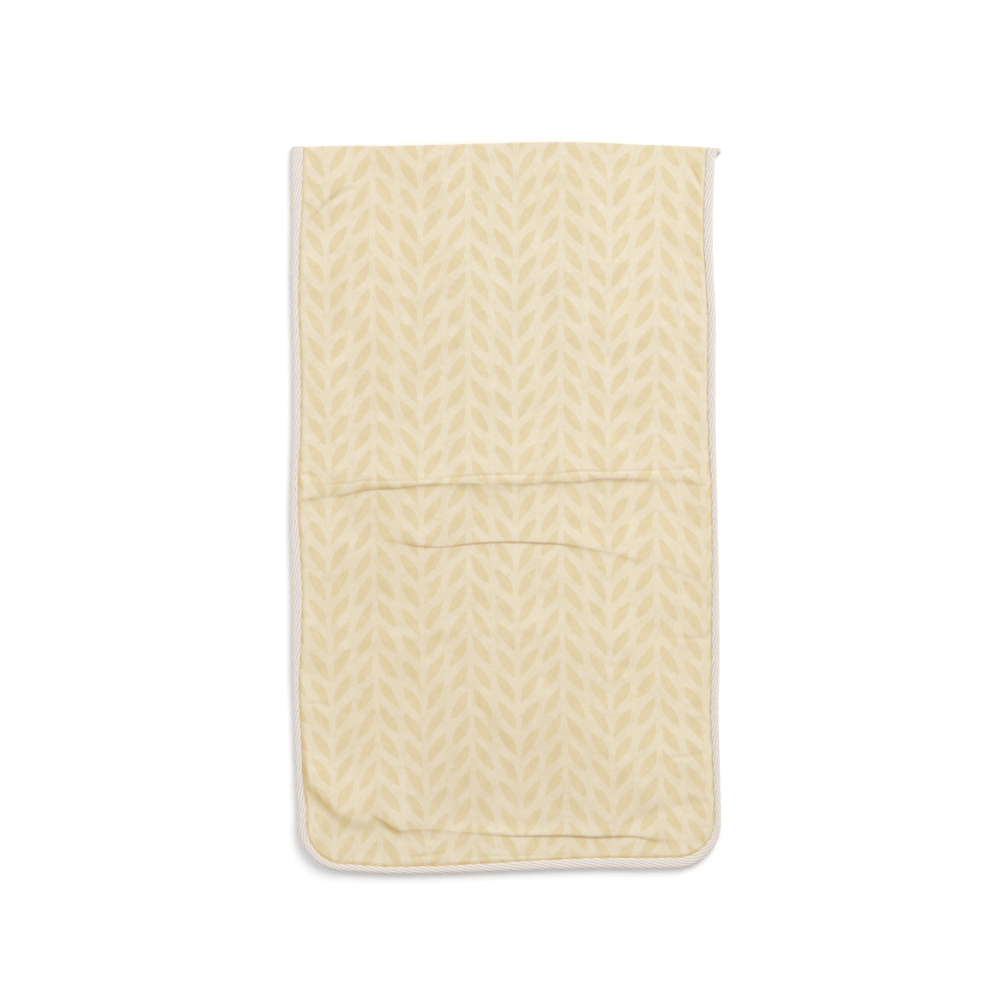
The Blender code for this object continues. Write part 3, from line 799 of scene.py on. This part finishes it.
def tape_outside(way):
    """The tape's outside: (run from its front edge, inset, height, normal inset, normal height).

    Straight out along the top leg, round the fold, and back in along the bottom leg. The fold
    is half a circle made fuller: the sum of its sine and cosine, each to one power, is 1. The
    first axis is the way and the second is the run.
    """
    leg = tape_reach(way)[:, None] - FOLD_RADIUS
    arc = math.pi * FOLD_RADIUS
    bottom = UNDER_REACH - FOLD_RADIUS
    top_run = leg * np.linspace(0, 1, TOP_LEG_POINTS)[:-1]
    arc_run = leg + arc * np.linspace(0, 1, FOLD_POINTS)[:-1]
    bottom_run = leg + arc + bottom * np.linspace(0, 1, BOTTOM_LEG_POINTS)
    run = np.concatenate([top_run, arc_run, bottom_run], axis=1)
    turn = np.clip((run - leg) / FOLD_RADIUS, 0, math.pi)
    past = np.maximum(run - leg - arc, 0)
    sine, cosine = np.abs(np.sin(turn)), np.cos(turn)
    full = (sine**FOLD_FULLNESS + np.abs(cosine) ** FOLD_FULLNESS) ** (-1 / FOLD_FULLNESS)
    inset = FOLD_RADIUS - FOLD_RADIUS * sine * full + np.maximum(leg - run, 0) + past
    height = FOLD_RADIUS + FOLD_RADIUS * cosine * full - tape_droop(run)
    out_inset = sine ** (FOLD_FULLNESS - 1)
    out_height = np.sign(cosine) * np.abs(cosine) ** (FOLD_FULLNESS - 1)
    size = np.hypot(out_inset, out_height)
    return run, inset, height, -out_inset / size, out_height / size


def tape_piece(name, sizes, material):
    """The folded twill tape, with its ribs as relief, closed inside and at both ends.

    The ribs are rounded ridges that slant to the tape's length: the depth at a point is the
    bare sine of its run less a share of its way, over the ribs' pitch.
    """
    rows = round((TAPE_END - TAPE_START) / TAPE_ROW_STEP) + 1
    way = np.linspace(TAPE_START, TAPE_END, rows)
    run, inset, height, out_inset, out_height = tape_outside(way)
    slant, pitch = rib_course(sizes)
    ways = way[:, None] + 0 * run
    wander = RIBS_WANDER * waver(ways, RIB_WAVES)
    ridge = np.abs(np.sin(math.pi * (run + wander - slant * ways) / pitch)) ** 0.7
    whole = run[:, -1:]
    depth = sizes.rib_depth * (1 - ridge)
    depth = depth + SELVEDGE * (np.exp(-run / SELVEDGE) + np.exp(-(whole - run) / SELVEDGE))
    inset = inset - depth * out_inset
    height = np.maximum(height - depth * out_height, 0)
    outer = tape_place(ways, inset, height)

    inner_radius = FOLD_RADIUS - TAPE
    share = np.linspace(0, 1, INNER_POINTS)
    turns = math.pi * (1 - share)
    leg = tape_reach(way)[:, None]
    inner_inset = FOLD_RADIUS - inner_radius * np.sin(turns) + 0 * leg
    inner_height = FOLD_RADIUS + inner_radius * np.cos(turns) + 0 * leg
    inner_inset = np.concatenate([0 * leg + UNDER_REACH, inner_inset, leg], axis=1)
    edge_height = 0 * leg + 2 * FOLD_RADIUS - TAPE - EDGE_DROOP_INSIDE
    inner_height = np.concatenate([0 * leg + TAPE, inner_height, edge_height], axis=1)
    inner = tape_place(way[:, None] + 0 * inner_inset, inner_inset, inner_height)
    inner_run = whole + run_along(inner, 1)

    points = np.concatenate([outer, inner], axis=1)
    rows, columns = points.shape[:2]
    runs = np.concatenate([run, inner_run], axis=1) + wander[:, :1]
    cloth_place = np.stack([np.broadcast_to(way[:, None], runs.shape), runs], axis=2)
    faces = grid_faces(rows, columns, wrap_columns=True)
    cap = strip_between(outer.shape[1], columns)
    last = (rows - 1) * columns
    maps = {"cloth": cloth_place.reshape(-1, 2)}
    sets = [faces[:, ::-1], cap[:, ::-1], last + cap]
    return new_piece(name, points.reshape(-1, 3), sets, maps, material)


def strip_between(split, count):
    """Triangles that close one end of a folded strip, numbered 0 to count round its section.

    Each step of the outside, from 0 to split, joins the inside's point at the same share of
    the way, and each step of the inside joins the outside's point where its turn comes.
    """
    outside = np.arange(split)
    inside_of = outside * (count - split - 1) // (split - 1)
    inside = count - 1 - inside_of
    outer = np.stack([outside[:-1], outside[1:], inside[:-1]], axis=1)
    steps = np.nonzero(np.diff(inside_of))[0]
    inner = np.stack([inside[steps], outside[steps + 1], inside[steps + 1]], axis=1)
    return np.concatenate([outer, inner])


def tubes(centres, radii, sides):
    """Round-ended tubes along many lines of points at once, as points and faces.

    A ring of points stands square to each line at each of its points. Its own two directions
    are the line's level normal and the product of that and the line's direction.
    """
    count, steps = centres.shape[:2]
    ahead = np.gradient(centres, axis=1)
    ahead /= np.linalg.norm(ahead, axis=2, keepdims=True)
    level = np.cross(ahead, (0.0, 0.0, 1.0))
    level /= np.maximum(np.linalg.norm(level, axis=2, keepdims=True), 1e-9)
    upright = np.cross(level, ahead)
    turn = 2 * math.pi * np.arange(sides) / sides
    ring = level[:, :, None] * np.cos(turn)[:, None] + upright[:, :, None] * np.sin(turn)[:, None]
    points = centres[:, :, None] + radii[:, :, None, None] * ring
    one = grid_faces(steps, sides, wrap_columns=True)
    half = sides // 2
    low = np.arange(half - 1)
    cap = np.stack([low, low + 1, sides - 2 - low, sides - 1 - low], axis=1)
    one = np.concatenate([one, cap, (steps - 1) * sides + cap[:, ::-1]])
    offsets = np.arange(count)[:, None, None] * steps * sides
    return points.reshape(-1, 3), (one[None] + offsets).reshape(-1, 4)


def stitch_piece(name, sizes, on_front, material):
    """A row of stitches near the tape's edge: short tubes that dive into the tape at both ends."""
    count = int((ROUND - sizes.stitch_pitch) / sizes.stitch_pitch)
    starts = sizes.stitch_pitch * (np.arange(count) + 0.6)
    share = np.linspace(-0.5, 0.5, 9)
    way = starts[:, None] + share * sizes.stitch_pitch * STITCH_LENGTH
    thread = sizes.thread_width / 2
    if on_front:
        reach = tape_reach(way)
        arch = 1 - (2 * np.abs(share)) ** 3
        height = 2 * FOLD_RADIUS - tape_droop(sizes.stitch_inset) + thread * (1.1 * arch - 1.0)
    else:
        reach = UNDER_REACH
        height = thread * 1.1
    centres = tape_place(way, reach - sizes.stitch_inset, height)
    radii = thread * np.sqrt(np.clip(1 - (2 * share) ** 6, 0.05, 1)) + 0 * way
    points, faces = tubes(centres, radii, 8)
    points[:, 2] = np.maximum(points[:, 2], 0.01 * MM)
    return new_piece(name, points, [faces], {}, material)


def frayed_piece(name, sizes, material):
    """Loose yarns at the tape's frayed end: bent tapering tubes that fan out and droop."""
    rng = np.random.default_rng(11)
    count = sizes.loose_yarns
    way = TAPE_END - rng.uniform(0.2, 2.4, count) * MM
    run = rng.uniform(-0.4, 3.2, count) * MM
    inset = np.maximum(-run, 0) + 0.2 * MM
    height = FOLD_RADIUS + rng.uniform(-1.4, 2.0, count) * MM
    base = tape_place(way, inset + 0.3 * MM, height)
    heading = rng.uniform(-0.75, 0.75, count)
    outwards = np.stack([np.cos(heading), np.sin(heading), rng.uniform(-0.3, 0.5, count)], axis=1)
    length = rng.uniform(0.9, 2.6, count) * MM
    t = np.linspace(0, 1, 9)[None, :, None]
    droop = np.zeros((count, 3))
    droop[:, 2] = -rng.uniform(0.1, 0.9, count) * length
    droop[:, 1] = rng.uniform(-0.5, 0.5, count) * length
    centres = base[:, None] + outwards[:, None] * length[:, None, None] * t + droop[:, None] * t**2
    radii = (rng.uniform(0.10, 0.17, count) * MM)[:, None] * (1 - 0.55 * t[..., 0])
    centres[..., 2] = np.maximum(centres[..., 2], radii + 0.02 * MM)
    points, faces = tubes(centres, radii, 6)
    return new_piece(name, points, [faces], {}, material)


class Board:
    """A node tree with short calls for adding nodes and joining them."""

    def __init__(self, tree):
        self.tree = tree

    def node(self, kind, inputs=None, **settings):
        """A new node, with its settings and with values or sockets for its inputs."""
        node = self.tree.nodes.new(kind)
        for key, value in settings.items():
            setattr(node, key, value)
        for key, value in (inputs or {}).items():
            self.feed(node.inputs[key], value)
        return node

    def feed(self, socket, value):
        """Joins an output to a socket, or sets the socket's own value."""
        if isinstance(value, bpy.types.NodeSocket):
            self.tree.links.new(value, socket)
        else:
            socket.default_value = value

    def sum(self, operation, *values, clamp=False):
        """The result of one math node."""
        node = self.node("ShaderNodeMath", operation=operation, use_clamp=clamp)
        for socket, value in zip(node.inputs, values):
            self.feed(socket, value)
        return node.outputs[0]

    def vector_sum(self, operation, *values):
        """The result of one vector math node."""
        node = self.node("ShaderNodeVectorMath", operation=operation)
        for socket, value in zip(node.inputs, values):
            self.feed(socket, value)
        return node.outputs[0]

    def mix(self, factor, first, second, blend="MIX"):
        """Two colours mixed."""
        node = self.node("ShaderNodeMix", data_type="RGBA", blend_type=blend)
        self.feed(node.inputs["Factor"], factor)
        self.feed(node.inputs[6], first)
        self.feed(node.inputs[7], second)
        return node.outputs[2]

    def times(self, colour, other):
        """One colour multiplied by another."""
        return self.mix(1.0, colour, other, "MULTIPLY")

    def tinted(self, colour, tint):
        """A colour made lighter or darker by a tint around 1."""
        grey = self.node("ShaderNodeCombineColor", {"Red": tint, "Green": tint, "Blue": tint})
        return self.times(colour, grey.outputs[0])

    def between(self, value, at_0, at_1):
        """A value that runs from 0 to 1, spread between two others."""
        return self.sum("MULTIPLY_ADD", value, at_1 - at_0, at_0)

    def noise(self, place, scale, detail, output="Fac", roughness=0.5):
        """Noise at a place, as a value or as a colour."""
        inputs = {"Vector": place, "Scale": scale, "Detail": detail, "Roughness": roughness}
        return self.node("ShaderNodeTexNoise", inputs).outputs[output]

    def uv_map(self, name):
        """The piece's own map of that name."""
        return self.node("ShaderNodeUVMap", uv_map=name).outputs["UV"]

    def solid_place(self):
        """The point in the object's own space."""
        return self.node("ShaderNodeTexCoord").outputs["Object"]

    def parts_of(self, vector):
        """A vector's X, Y and Z."""
        return self.node("ShaderNodeSeparateXYZ", {"Vector": vector}).outputs

    def group(self, name, inputs):
        """The outputs of a shader group of that name."""
        tree = bpy.data.node_groups[name]
        return self.node("ShaderNodeGroup", inputs, node_tree=tree).outputs


def new_group(name, inputs, outputs):
    """A shader node group with named sockets. Returns its board, its inputs and its output node."""
    tree = bpy.data.node_groups.new(name, "ShaderNodeTree")
    for socket_name, kind, default in inputs:
        socket = tree.interface.new_socket(socket_name, in_out="INPUT", socket_type=kind)
        if default is not None:
            socket.default_value = default
    for socket_name, kind in outputs:
        tree.interface.new_socket(socket_name, in_out="OUTPUT", socket_type=kind)
    board = Board(tree)
    return board, board.node("NodeGroupInput").outputs, board.node("NodeGroupOutput")


def leaf_print_group():
    """The leaf print as a mask: 1 on a leaf and 0 between leaves.

    A column is the whole part of the print place, and the remainder is the share across it.
    Even pairs of columns slant down to the stem between them, odd pairs slant up to it. Seen
    as slanting down to the right, a leaf lies between two powers of its share t from top to
    bottom: t to one power on its left, and 1 less (1 - t) to the other power on its right.
    """
    board, given, result = new_group(
        "leaf_print",
        (
            ("Print Place", "NodeSocketVector", None),
            ("Leaf Width", "NodeSocketFloat", 0.76),
            ("Leaf Length", "NodeSocketFloat", 1.12),
            ("Edge Softness", "NodeSocketFloat", 0.035),
        ),
        (("Leaf", "NodeSocketFloat"),),
    )
    starts = [start for group in LEAF_STARTS for start in group]
    place = board.parts_of(given["Print Place"])
    column = board.sum("FLOOR", place["X"])
    across = board.sum("SUBTRACT", board.sum("SUBTRACT", place["X"], column), 0.5)

    slot = board.sum("DIVIDE", board.sum("SUBTRACT", column, FIRST_COLUMN - 0.5), PRINT_SLOTS)
    ramp = board.node("ShaderNodeValToRGB", {"Fac": slot})
    ramp.color_ramp.interpolation = "CONSTANT"
    elements = ramp.color_ramp.elements
    for k, start in enumerate(starts):
        element = elements[k] if k < 2 else elements.new(k / PRINT_SLOTS)
        element.position = k / PRINT_SLOTS
        share = start * MM / LEAF_STEP
        element.color = (share, share, share, 1)

    kind = board.sum("FLOORED_MODULO", column, 4.0)
    rising = board.sum("COMPARE", kind, 1.5, 0.6)
    to_stem = board.sum("LESS_THAN", kind, 1.5)
    mirrored = board.between(rising, 1.0, -1.0)
    across = board.sum("DIVIDE", board.sum("MULTIPLY", across, mirrored), given["Leaf Width"])
    across = board.sum("ADD", across, 0.5)
    left_power = board.between(to_stem, *LEFT_POWERS)
    right_power = board.between(to_stem, *RIGHT_POWERS)

    down = board.sum("SUBTRACT", place["Y"], ramp.outputs["Color"])
    from_middle = board.sum("SUBTRACT", down, board.sum("ROUND", down))
    neighbour = board.sum("SUBTRACT", from_middle, board.sum("SIGN", from_middle))
    masks = []
    for offset in (from_middle, neighbour):
        share = board.sum("DIVIDE", offset, given["Leaf Length"])
        share = board.sum("ADD", share, 0.5, clamp=True)
        left = board.sum("POWER", share, left_power)
        right = board.sum("POWER", board.sum("SUBTRACT", 1.0, share), right_power)
        right = board.sum("SUBTRACT", 1.0, right)
        left_room = board.sum("SUBTRACT", across, left)
        room = board.sum("MINIMUM", left_room, board.sum("SUBTRACT", right, across))
        soft = board.sum("DIVIDE", room, given["Edge Softness"])
        masks.append(board.sum("ADD", soft, 0.5, clamp=True))
    board.feed(result.inputs["Leaf"], board.sum("MAXIMUM", *masks))
    return board.tree


def weave_group():
    """Fine crossed threads, uneven in thickness, as a height and as a tint around 1.

    Two noises, each drawn out along one thread direction, so that no regular pitch beats
    with the picture's own.
    """
    board, given, result = new_group(
        "weave",
        (
            ("Cloth Place", "NodeSocketVector", None),
            ("Thread Width", "NodeSocketFloat", 0.4 * MM),
            ("Thread Length", "NodeSocketFloat", 6 * MM),
        ),
        (("Height", "NodeSocketFloat"), ("Tint", "NodeSocketFloat")),
    )
    wide = board.sum("DIVIDE", 1.0, given["Thread Width"])
    long = board.sum("DIVIDE", 1.0, given["Thread Length"])
    threads = []
    for first, second in ((wide, long), (long, wide)):
        scale = board.node("ShaderNodeCombineXYZ", {"X": first, "Y": second, "Z": 1.0}).outputs[0]
        place = board.vector_sum("MULTIPLY", given["Cloth Place"], scale)
        threads.append(board.noise(place, 1.0, 2.0))
    both = board.sum("ADD", *threads)
    board.feed(result.inputs["Height"], board.sum("MULTIPLY", both, 0.5))
    board.feed(result.inputs["Tint"], board.sum("MULTIPLY_ADD", both, 0.5, 0.5))
    return board.tree


def shader_of(name):
    """A new material with nodes: its board and its principled shader."""
    material = bpy.data.materials.new(name)
    material.use_nodes = True
    shader = material.node_tree.nodes["Principled BSDF"]
    return material, Board(material.node_tree), shader


def finished(board, shader, colour, constants, height=None, depth=0.0, strength=0.0):
    """Joins a colour and a bump to the shader, and sets constants on its own sockets."""
    board.feed(shader.inputs["Base Color"], colour)
    for name, value in constants.items():
        shader.inputs[name].default_value = value
    if height is not None:
        relief = {"Height": height, "Distance": depth, "Strength": strength}
        bump = board.node("ShaderNodeBump", relief)
        board.feed(shader.inputs["Normal"], bump.outputs["Normal"])


def printed_cotton(name, colours, sizes):
    """Matt printed cotton: ground and leaf colours, faint blotches, threads in tint and bump.

    The print's edges wander a little. A warm shade is painted where the folds turn away from the
    light and right beside the tape, and towards the foot where the light is dimmer. The colour
    also varies from spot to spot.
    """
    material, board, shader = shader_of(name)
    cloth_map, solid = board.uv_map("cloth"), board.solid_place()
    wander = board.noise(cloth_map, 900.0, 2.0, "Color")
    shift = board.vector_sum("SUBTRACT", wander, (0.5, 0.5, 0.5))
    shift = board.vector_sum("MULTIPLY", shift, PRINT_WANDERS)
    place = board.vector_sum("ADD", board.uv_map("print"), shift)
    leaf = board.group("leaf_print", {"Print Place": place})["Leaf"]
    weave = board.group("weave", {"Cloth Place": cloth_map})

    colour = board.mix(leaf, (*colours.ground, 1), (*colours.leaf, 1))
    # Painted warm shade where the folds slope away from the key light and beside the tape
    painted_shade_share = board.parts_of(board.uv_map("folds"))["X"]
    colour = board.times(colour, board.mix(painted_shade_share, WHITE, (*colours.shade, 1)))
    mottle = board.noise(solid, 90.0, 5.0, roughness=1.0)
    spread = Vector(colours.mottle)
    level = Vector((1.0, 1.0, 1.0)) - spread / 2
    colour = board.times(colour, board.vector_sum("MULTIPLY_ADD", mottle, spread, level))
    blotch = board.between(board.noise(solid, 18.0, 3.0), 0.97, 1.03)
    tint = board.between(weave["Tint"], 0.88, 1.0)
    colour = board.tinted(colour, board.sum("MULTIPLY", tint, blotch))
    # A painted warm shade towards the foot, where the light is dimmer
    up_the_bag = board.parts_of(solid)["Y"]
    limits = {"Value": up_the_bag, "From Min": FOOT_SHADE_FROM, "From Max": FOOT_SHADE_TO}
    to_foot = board.node("ShaderNodeMapRange", limits, interpolation_type="SMOOTHSTEP")
    foot_shaded = board.mix(to_foot.outputs["Result"], WHITE, (*colours.foot_shade, 1))
    colour = board.times(colour, foot_shaded)
    matt = {"Roughness": 0.78, "Sheen Weight": 0.15, "Specular IOR Level": 0.25}
    finished(board, shader, colour, matt, weave["Height"], sizes.weave_depth, 0.6)
    return material


def twill_tape(name, colours, sizes):
    """Off-white cotton tape: painted shade in the grooves between ribs, threads in tint and bump."""
    material, board, shader = shader_of(name)
    cloth_map = board.uv_map("cloth")
    threads = {"Cloth Place": cloth_map, "Thread Width": 0.5 * MM, "Thread Length": 1.5 * MM}
    weave = board.group("weave", threads)
    place = board.parts_of(cloth_map)
    slant, pitch = rib_course(sizes)
    # Painted shade in the grooves between the ribs
    rib = board.sum("MULTIPLY_ADD", place["X"], -slant, place["Y"])
    rib = board.sum("ABSOLUTE", board.sum("SINE", board.sum("MULTIPLY", rib, math.pi / pitch)))
    groove_shade = board.sum("SUBTRACT", 1.0, board.sum("POWER", rib, 0.5))
    colour = board.mix(groove_shade, (*colours.tape, 1), (*colours.groove_shade, 1))
    colour = board.tinted(colour, board.between(weave["Tint"], 0.55, 1.0))
    matt = {"Roughness": 0.85, "Sheen Weight": 0.2, "Specular IOR Level": 0.2}
    finished(board, shader, colour, matt, weave["Height"], sizes.weave_depth, 0.8)
    return material


def plain_material(name, colour, scale, tints, constants):
    """One colour with a noise in its tint: thread with its twist, or a smooth white surface."""
    material, board, shader = shader_of(name)
    tint = board.between(board.noise(board.solid_place(), scale, 1.0), *tints)
    finished(board, shader, board.tinted((*colour, 1), tint), constants)
    return material


def settle(piece, node):
    """Puts a finished piece on the body, and hides the node's part, if there is one, that it stands in
    for.
    """
    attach(piece, BODY)
    if node:
        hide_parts(node)
    if not len(piece.data.polygons):
        raise RuntimeError(f"{piece.name} has no faces")


def length_property(name, description, default):
    """A length, shown down to the hundredth of a millimetre."""
    return FloatProperty(
        name=name, description=description, default=default, unit="LENGTH", precision=5
    )


def colour_property(name, description, default, subtype="COLOR"):
    """A colour, or three shares of one, each from 0 to 1."""
    return FloatVectorProperty(
        name=name, description=description, default=default, subtype=subtype, min=0.0, max=1.0
    )


class BreadBagSizes(bpy.types.PropertyGroup):
    crease_depth: FloatProperty(
        name="Crease depth",
        description="How deep the small creases are, 1 being as they lie",
        default=1.0,
        min=0.0,
        max=3.0,
    )
    ripple: length_property("Unevenness", "Height of the faint waves in the cloth", 0.16 * MM)
    weave_depth: length_property("Weave depth", "Depth of the threads in cloth and tape", 0.08 * MM)
    rib_pitch: length_property(
        "Rib pitch", "Distance from one rib of the tape to the next, square to the ribs", 1.7 * MM
    )
    rib_depth: length_property("Rib depth", "Depth of the grooves between the tape's ribs", 0.42 * MM)
    rib_angle: FloatProperty(
        name="Rib angle",
        description="Slant of the ribs to the tape's length",
        default=math.radians(16),
        subtype="ANGLE",
    )
    stitch_pitch: length_property("Stitch pitch", "Distance from one stitch to the next", 2.5 * MM)
    stitch_inset: length_property("Stitch inset", "Distance from the tape's edge", 1.0 * MM)
    thread_width: length_property("Thread width", "Width of the sewing thread", 0.36 * MM)
    loose_yarns: IntProperty(
        name="Loose yarns",
        description="Number of yarns that have come loose at the frayed end of the tape",
        default=180,
        min=1,
        max=400,
    )


class BreadBagColours(bpy.types.PropertyGroup):
    ground: colour_property("Ground", "Colour of the cotton between the leaves", (0.70, 0.622, 0.474))
    leaf: colour_property("Leaf", "Colour of the printed leaves", (0.669, 0.566, 0.362))
    # Painted warm shade towards the foot, where the light is dimmer
    foot_shade: colour_property("Yellowing", "Tint of the cotton towards the foot", (1.0, 0.99, 0.965))
    # Painted warm shade of the folds that slope away from the key light, and of the cloth beside the
    # tape
    shade: colour_property(
        "Shade", "Warm tint of the cotton where it slopes away from the light", (1.0, 0.885, 0.68)
    )
    mottle: colour_property(
        "Mottle",
        "How much the cotton's red, green and blue vary from spot to spot",
        (0.34, 0.4, 0.8),
        "XYZ",
    )
    tape: colour_property("Tape", "Colour of the tape's ribs", (0.745, 0.69, 0.64))
    # Painted shade in the grooves between the tape's ribs
    groove_shade: colour_property("Groove", "Colour of the tape between its ribs", (0.52, 0.465, 0.415))
    thread: colour_property("Thread", "Colour of the sewing thread and loose yarns", (0.82, 0.77, 0.71))
    floor: colour_property("Floor", "Colour of the surface that the bag lies on", (0.96, 0.96, 0.96))


class BreadBagStage(bpy.types.PropertyGroup):
    picture_width: length_property(
        "Picture width", "Width of the view at the height of the surface", 0.5905
    )
    picture_middle: FloatVectorProperty(
        name="Picture middle",
        description="Point of the surface at the middle of the view",
        default=(-3.2 * MM, 4.7 * MM),
        size=2,
        subtype="XYZ",
        precision=5,
    )
    lens: FloatProperty(
        name="Lens",
        description="Focal length of the camera in millimetres",
        default=250.0,
    )
    key_power: FloatProperty(
        name="Key light",
        description="Power of the soft light at the upper right, in watts",
        default=50.5,
    )
    fill_power: FloatProperty(
        name="Fill light",
        description="Power of the low soft light at the left, in watts",
        default=3.5,
    )
    room_light: FloatProperty(
        name="Room light",
        description="Strength of the even white light of the room",
        default=0.65,
    )


def sizes_now():
    """The bag's sizes as they are set now."""
    return bpy.context.scene.bread_bag_sizes


def colours_now():
    """The bag's colours as they are set now."""
    return bpy.context.scene.bread_bag_colours


class BREADBAG_OT_print_groups(bpy.types.Operator):
    """Builds the shader groups that the cloth and the tape share"""

    bl_idname = "bread_bag.print_groups"
    bl_label = "Print and weave groups"

    def execute(self, context):
        leaf_print_group()
        weave_group()
        return {"FINISHED"}


class BREADBAG_OT_front_cloth(bpy.types.Operator):
    """Builds the printed front panel with its folds and creases"""

    bl_idname = "bread_bag.front_cloth"
    bl_label = "Front panel"

    def execute(self, context):
        sizes = sizes_now()
        material = printed_cotton("front_cotton", colours_now(), sizes)
        guides = (
            (UPPER_TROUGH, TROUGH_ROWS),
            *[(tuck, TUCK_ROWS[0] + TUCK_ROWS[1]) for tuck in TUCKS],
        )
        across, along = panel_cut(CUT_LENGTH / 2, guides, FRONT_ROWS_BETWEEN, FRONT_COLUMNS)
        x, y = lie(across, along)
        under = front_underside(across, along, x, y, sizes.crease_depth, sizes.ripple)
        # Painted warm shade of the cloth right beside the tape, stronger to the right
        past = inset_of(across, along) - from_table(TAPE_REACH, 1, way_of(across, along))
        seam_shade_strength = SEAM_PAINTED_SHADE * (1 + eased(across / SEAM_SHADE_GROWS_TO_RIGHT))
        beside = seam_shade_strength * np.exp(-((past / SEAM_SHADE_RUN) ** 2))
        piece = sheet_piece("front_cloth", x, y, under, beside, FRONT_KEEP, material)
        settle(piece, "front_panel")
        return {"FINISHED"}


class BREADBAG_OT_back_cloth(bpy.types.Operator):
    """Builds the printed back panel that the bag lies on"""

    bl_idname = "bread_bag.back_cloth"
    bl_label = "Back panel"

    def execute(self, context):
        material = printed_cotton("back_cotton", colours_now(), sizes_now())
        mouth = CUT_LENGTH / 2 - BACK_SHORT_BY
        guides = ((BACK_CREST, BACK_CREST_ROWS),)
        across, along = panel_cut(mouth, guides, BACK_ROWS_BETWEEN, BACK_COLUMNS)
        x, y = lie(across, along)
        under = back_underside(across, along, x, y)
        piece = sheet_piece("back_cloth", x, y, under, 0.0, BACK_KEEP, material)
        settle(piece, "back_panel")
        return {"FINISHED"}


class BREADBAG_OT_tape(bpy.types.Operator):
    """Builds the folded twill tape with its ribs"""

    bl_idname = "bread_bag.tape"
    bl_label = "Twill tape"

    def execute(self, context):
        sizes = sizes_now()
        piece = tape_piece("twill_tape", sizes, twill_tape("tape_cotton", colours_now(), sizes))
        settle(piece, "binding")
        return {"FINISHED"}


class BREADBAG_OT_thread(bpy.types.Operator):
    """Builds the stitching on both faces and the loose yarns of the frayed end"""

    bl_idname = "bread_bag.thread"
    bl_label = "Stitching and loose yarns"

    def execute(self, context):
        sizes = sizes_now()
        matt = {"Roughness": 0.8}
        material = plain_material("thread", colours_now().thread, 2500.0, (0.9, 1.1), matt)
        for name, on_front in (("front_stitches", True), ("back_stitches", False)):
            settle(stitch_piece(name, sizes, on_front, material), None)
        settle(frayed_piece("loose_yarns", sizes, material), None)
        return {"FINISHED"}


class BREADBAG_OT_stage(bpy.types.Operator):
    """Builds the white surface, the light and the camera above the bag"""

    bl_idname = "bread_bag.stage"
    bl_label = "Stage"

    def execute(self, context):
        scene = context.scene
        stage = scene.bread_bag_stage
        mesh = bpy.data.meshes.new("floor")
        half, level = FLOOR_HALF, FLOOR_LEVEL
        corners = [(-half, -half, level), (half, -half, level)]
        corners += [(half, half, level), (-half, half, level)]
        mesh.from_pydata(corners, [], [(0, 1, 2, 3)])
        smooth = {"Roughness": 1.0, "Specular IOR Level": 0.0}
        white = plain_material("floor_white", colours_now().floor, 3.0, (0.99, 1.0), smooth)
        mesh.materials.append(white)
        floor = bpy.data.objects.new("floor", mesh)
        scene.collection.objects.link(floor)

        world = bpy.data.worlds.new("room")
        world.use_nodes = True
        background = world.node_tree.nodes["Background"]
        background.inputs["Color"].default_value = WHITE
        background.inputs["Strength"].default_value = stage.room_light
        scene.world = world

        for name, size, place in LIGHTS:
            light = bpy.data.lights.new(name, "AREA")
            light.energy = getattr(stage, name + "_power")
            light.size = size
            lamp = bpy.data.objects.new(name, light)
            lamp.location = place
            lamp.rotation_euler = lamp.location.to_track_quat("Z", "Y").to_euler()
            scene.collection.objects.link(lamp)

        camera = bpy.data.cameras.new("camera")
        camera.lens = stage.lens
        distance = stage.picture_width * camera.lens / camera.sensor_width
        camera_object = bpy.data.objects.new("camera", camera)
        camera_object.location = (*stage.picture_middle, distance)
        scene.collection.objects.link(camera_object)
        scene.camera = camera_object
        scene.view_settings.view_transform = "Standard"
        return {"FINISHED"}


class BREADBAG_PT_panel(bpy.types.Panel):
    """Lists the bag's sizes, colours and pieces"""

    bl_idname = "BREADBAG_PT_panel"
    bl_label = "Bread bag"
    bl_space_type = "VIEW_3D"
    bl_region_type = "UI"
    bl_category = "Bread bag"

    def draw(self, context):
        scene = context.scene
        for settings in (scene.bread_bag_sizes, scene.bread_bag_colours, scene.bread_bag_stage):
            box = self.layout.box()
            for name in settings.__annotations__:
                box.prop(settings, name)
        for operator in OPERATORS:
            self.layout.operator(operator.bl_idname)


OPERATORS = (
    BREADBAG_OT_print_groups,
    BREADBAG_OT_back_cloth,
    BREADBAG_OT_front_cloth,
    BREADBAG_OT_tape,
    BREADBAG_OT_thread,
    BREADBAG_OT_stage,
)
CLASSES = (BreadBagSizes, BreadBagColours, BreadBagStage, *OPERATORS, BREADBAG_PT_panel)


def register():
    for cls in CLASSES:
        bpy.utils.register_class(cls)
    bpy.types.Scene.bread_bag_sizes = PointerProperty(type=BreadBagSizes)
    bpy.types.Scene.bread_bag_colours = PointerProperty(type=BreadBagColours)
    bpy.types.Scene.bread_bag_stage = PointerProperty(type=BreadBagStage)


def unregister():
    del bpy.types.Scene.bread_bag_stage
    del bpy.types.Scene.bread_bag_colours
    del bpy.types.Scene.bread_bag_sizes
    for cls in reversed(CLASSES):
        bpy.utils.unregister_class(cls)


def main():
    register()
    bpy.ops.bread_bag.print_groups()
    bpy.ops.bread_bag.back_cloth()
    bpy.ops.bread_bag.front_cloth()
    bpy.ops.bread_bag.tape()
    bpy.ops.bread_bag.thread()
    bpy.ops.bread_bag.stage()


if __name__ == "__main__":
    main()
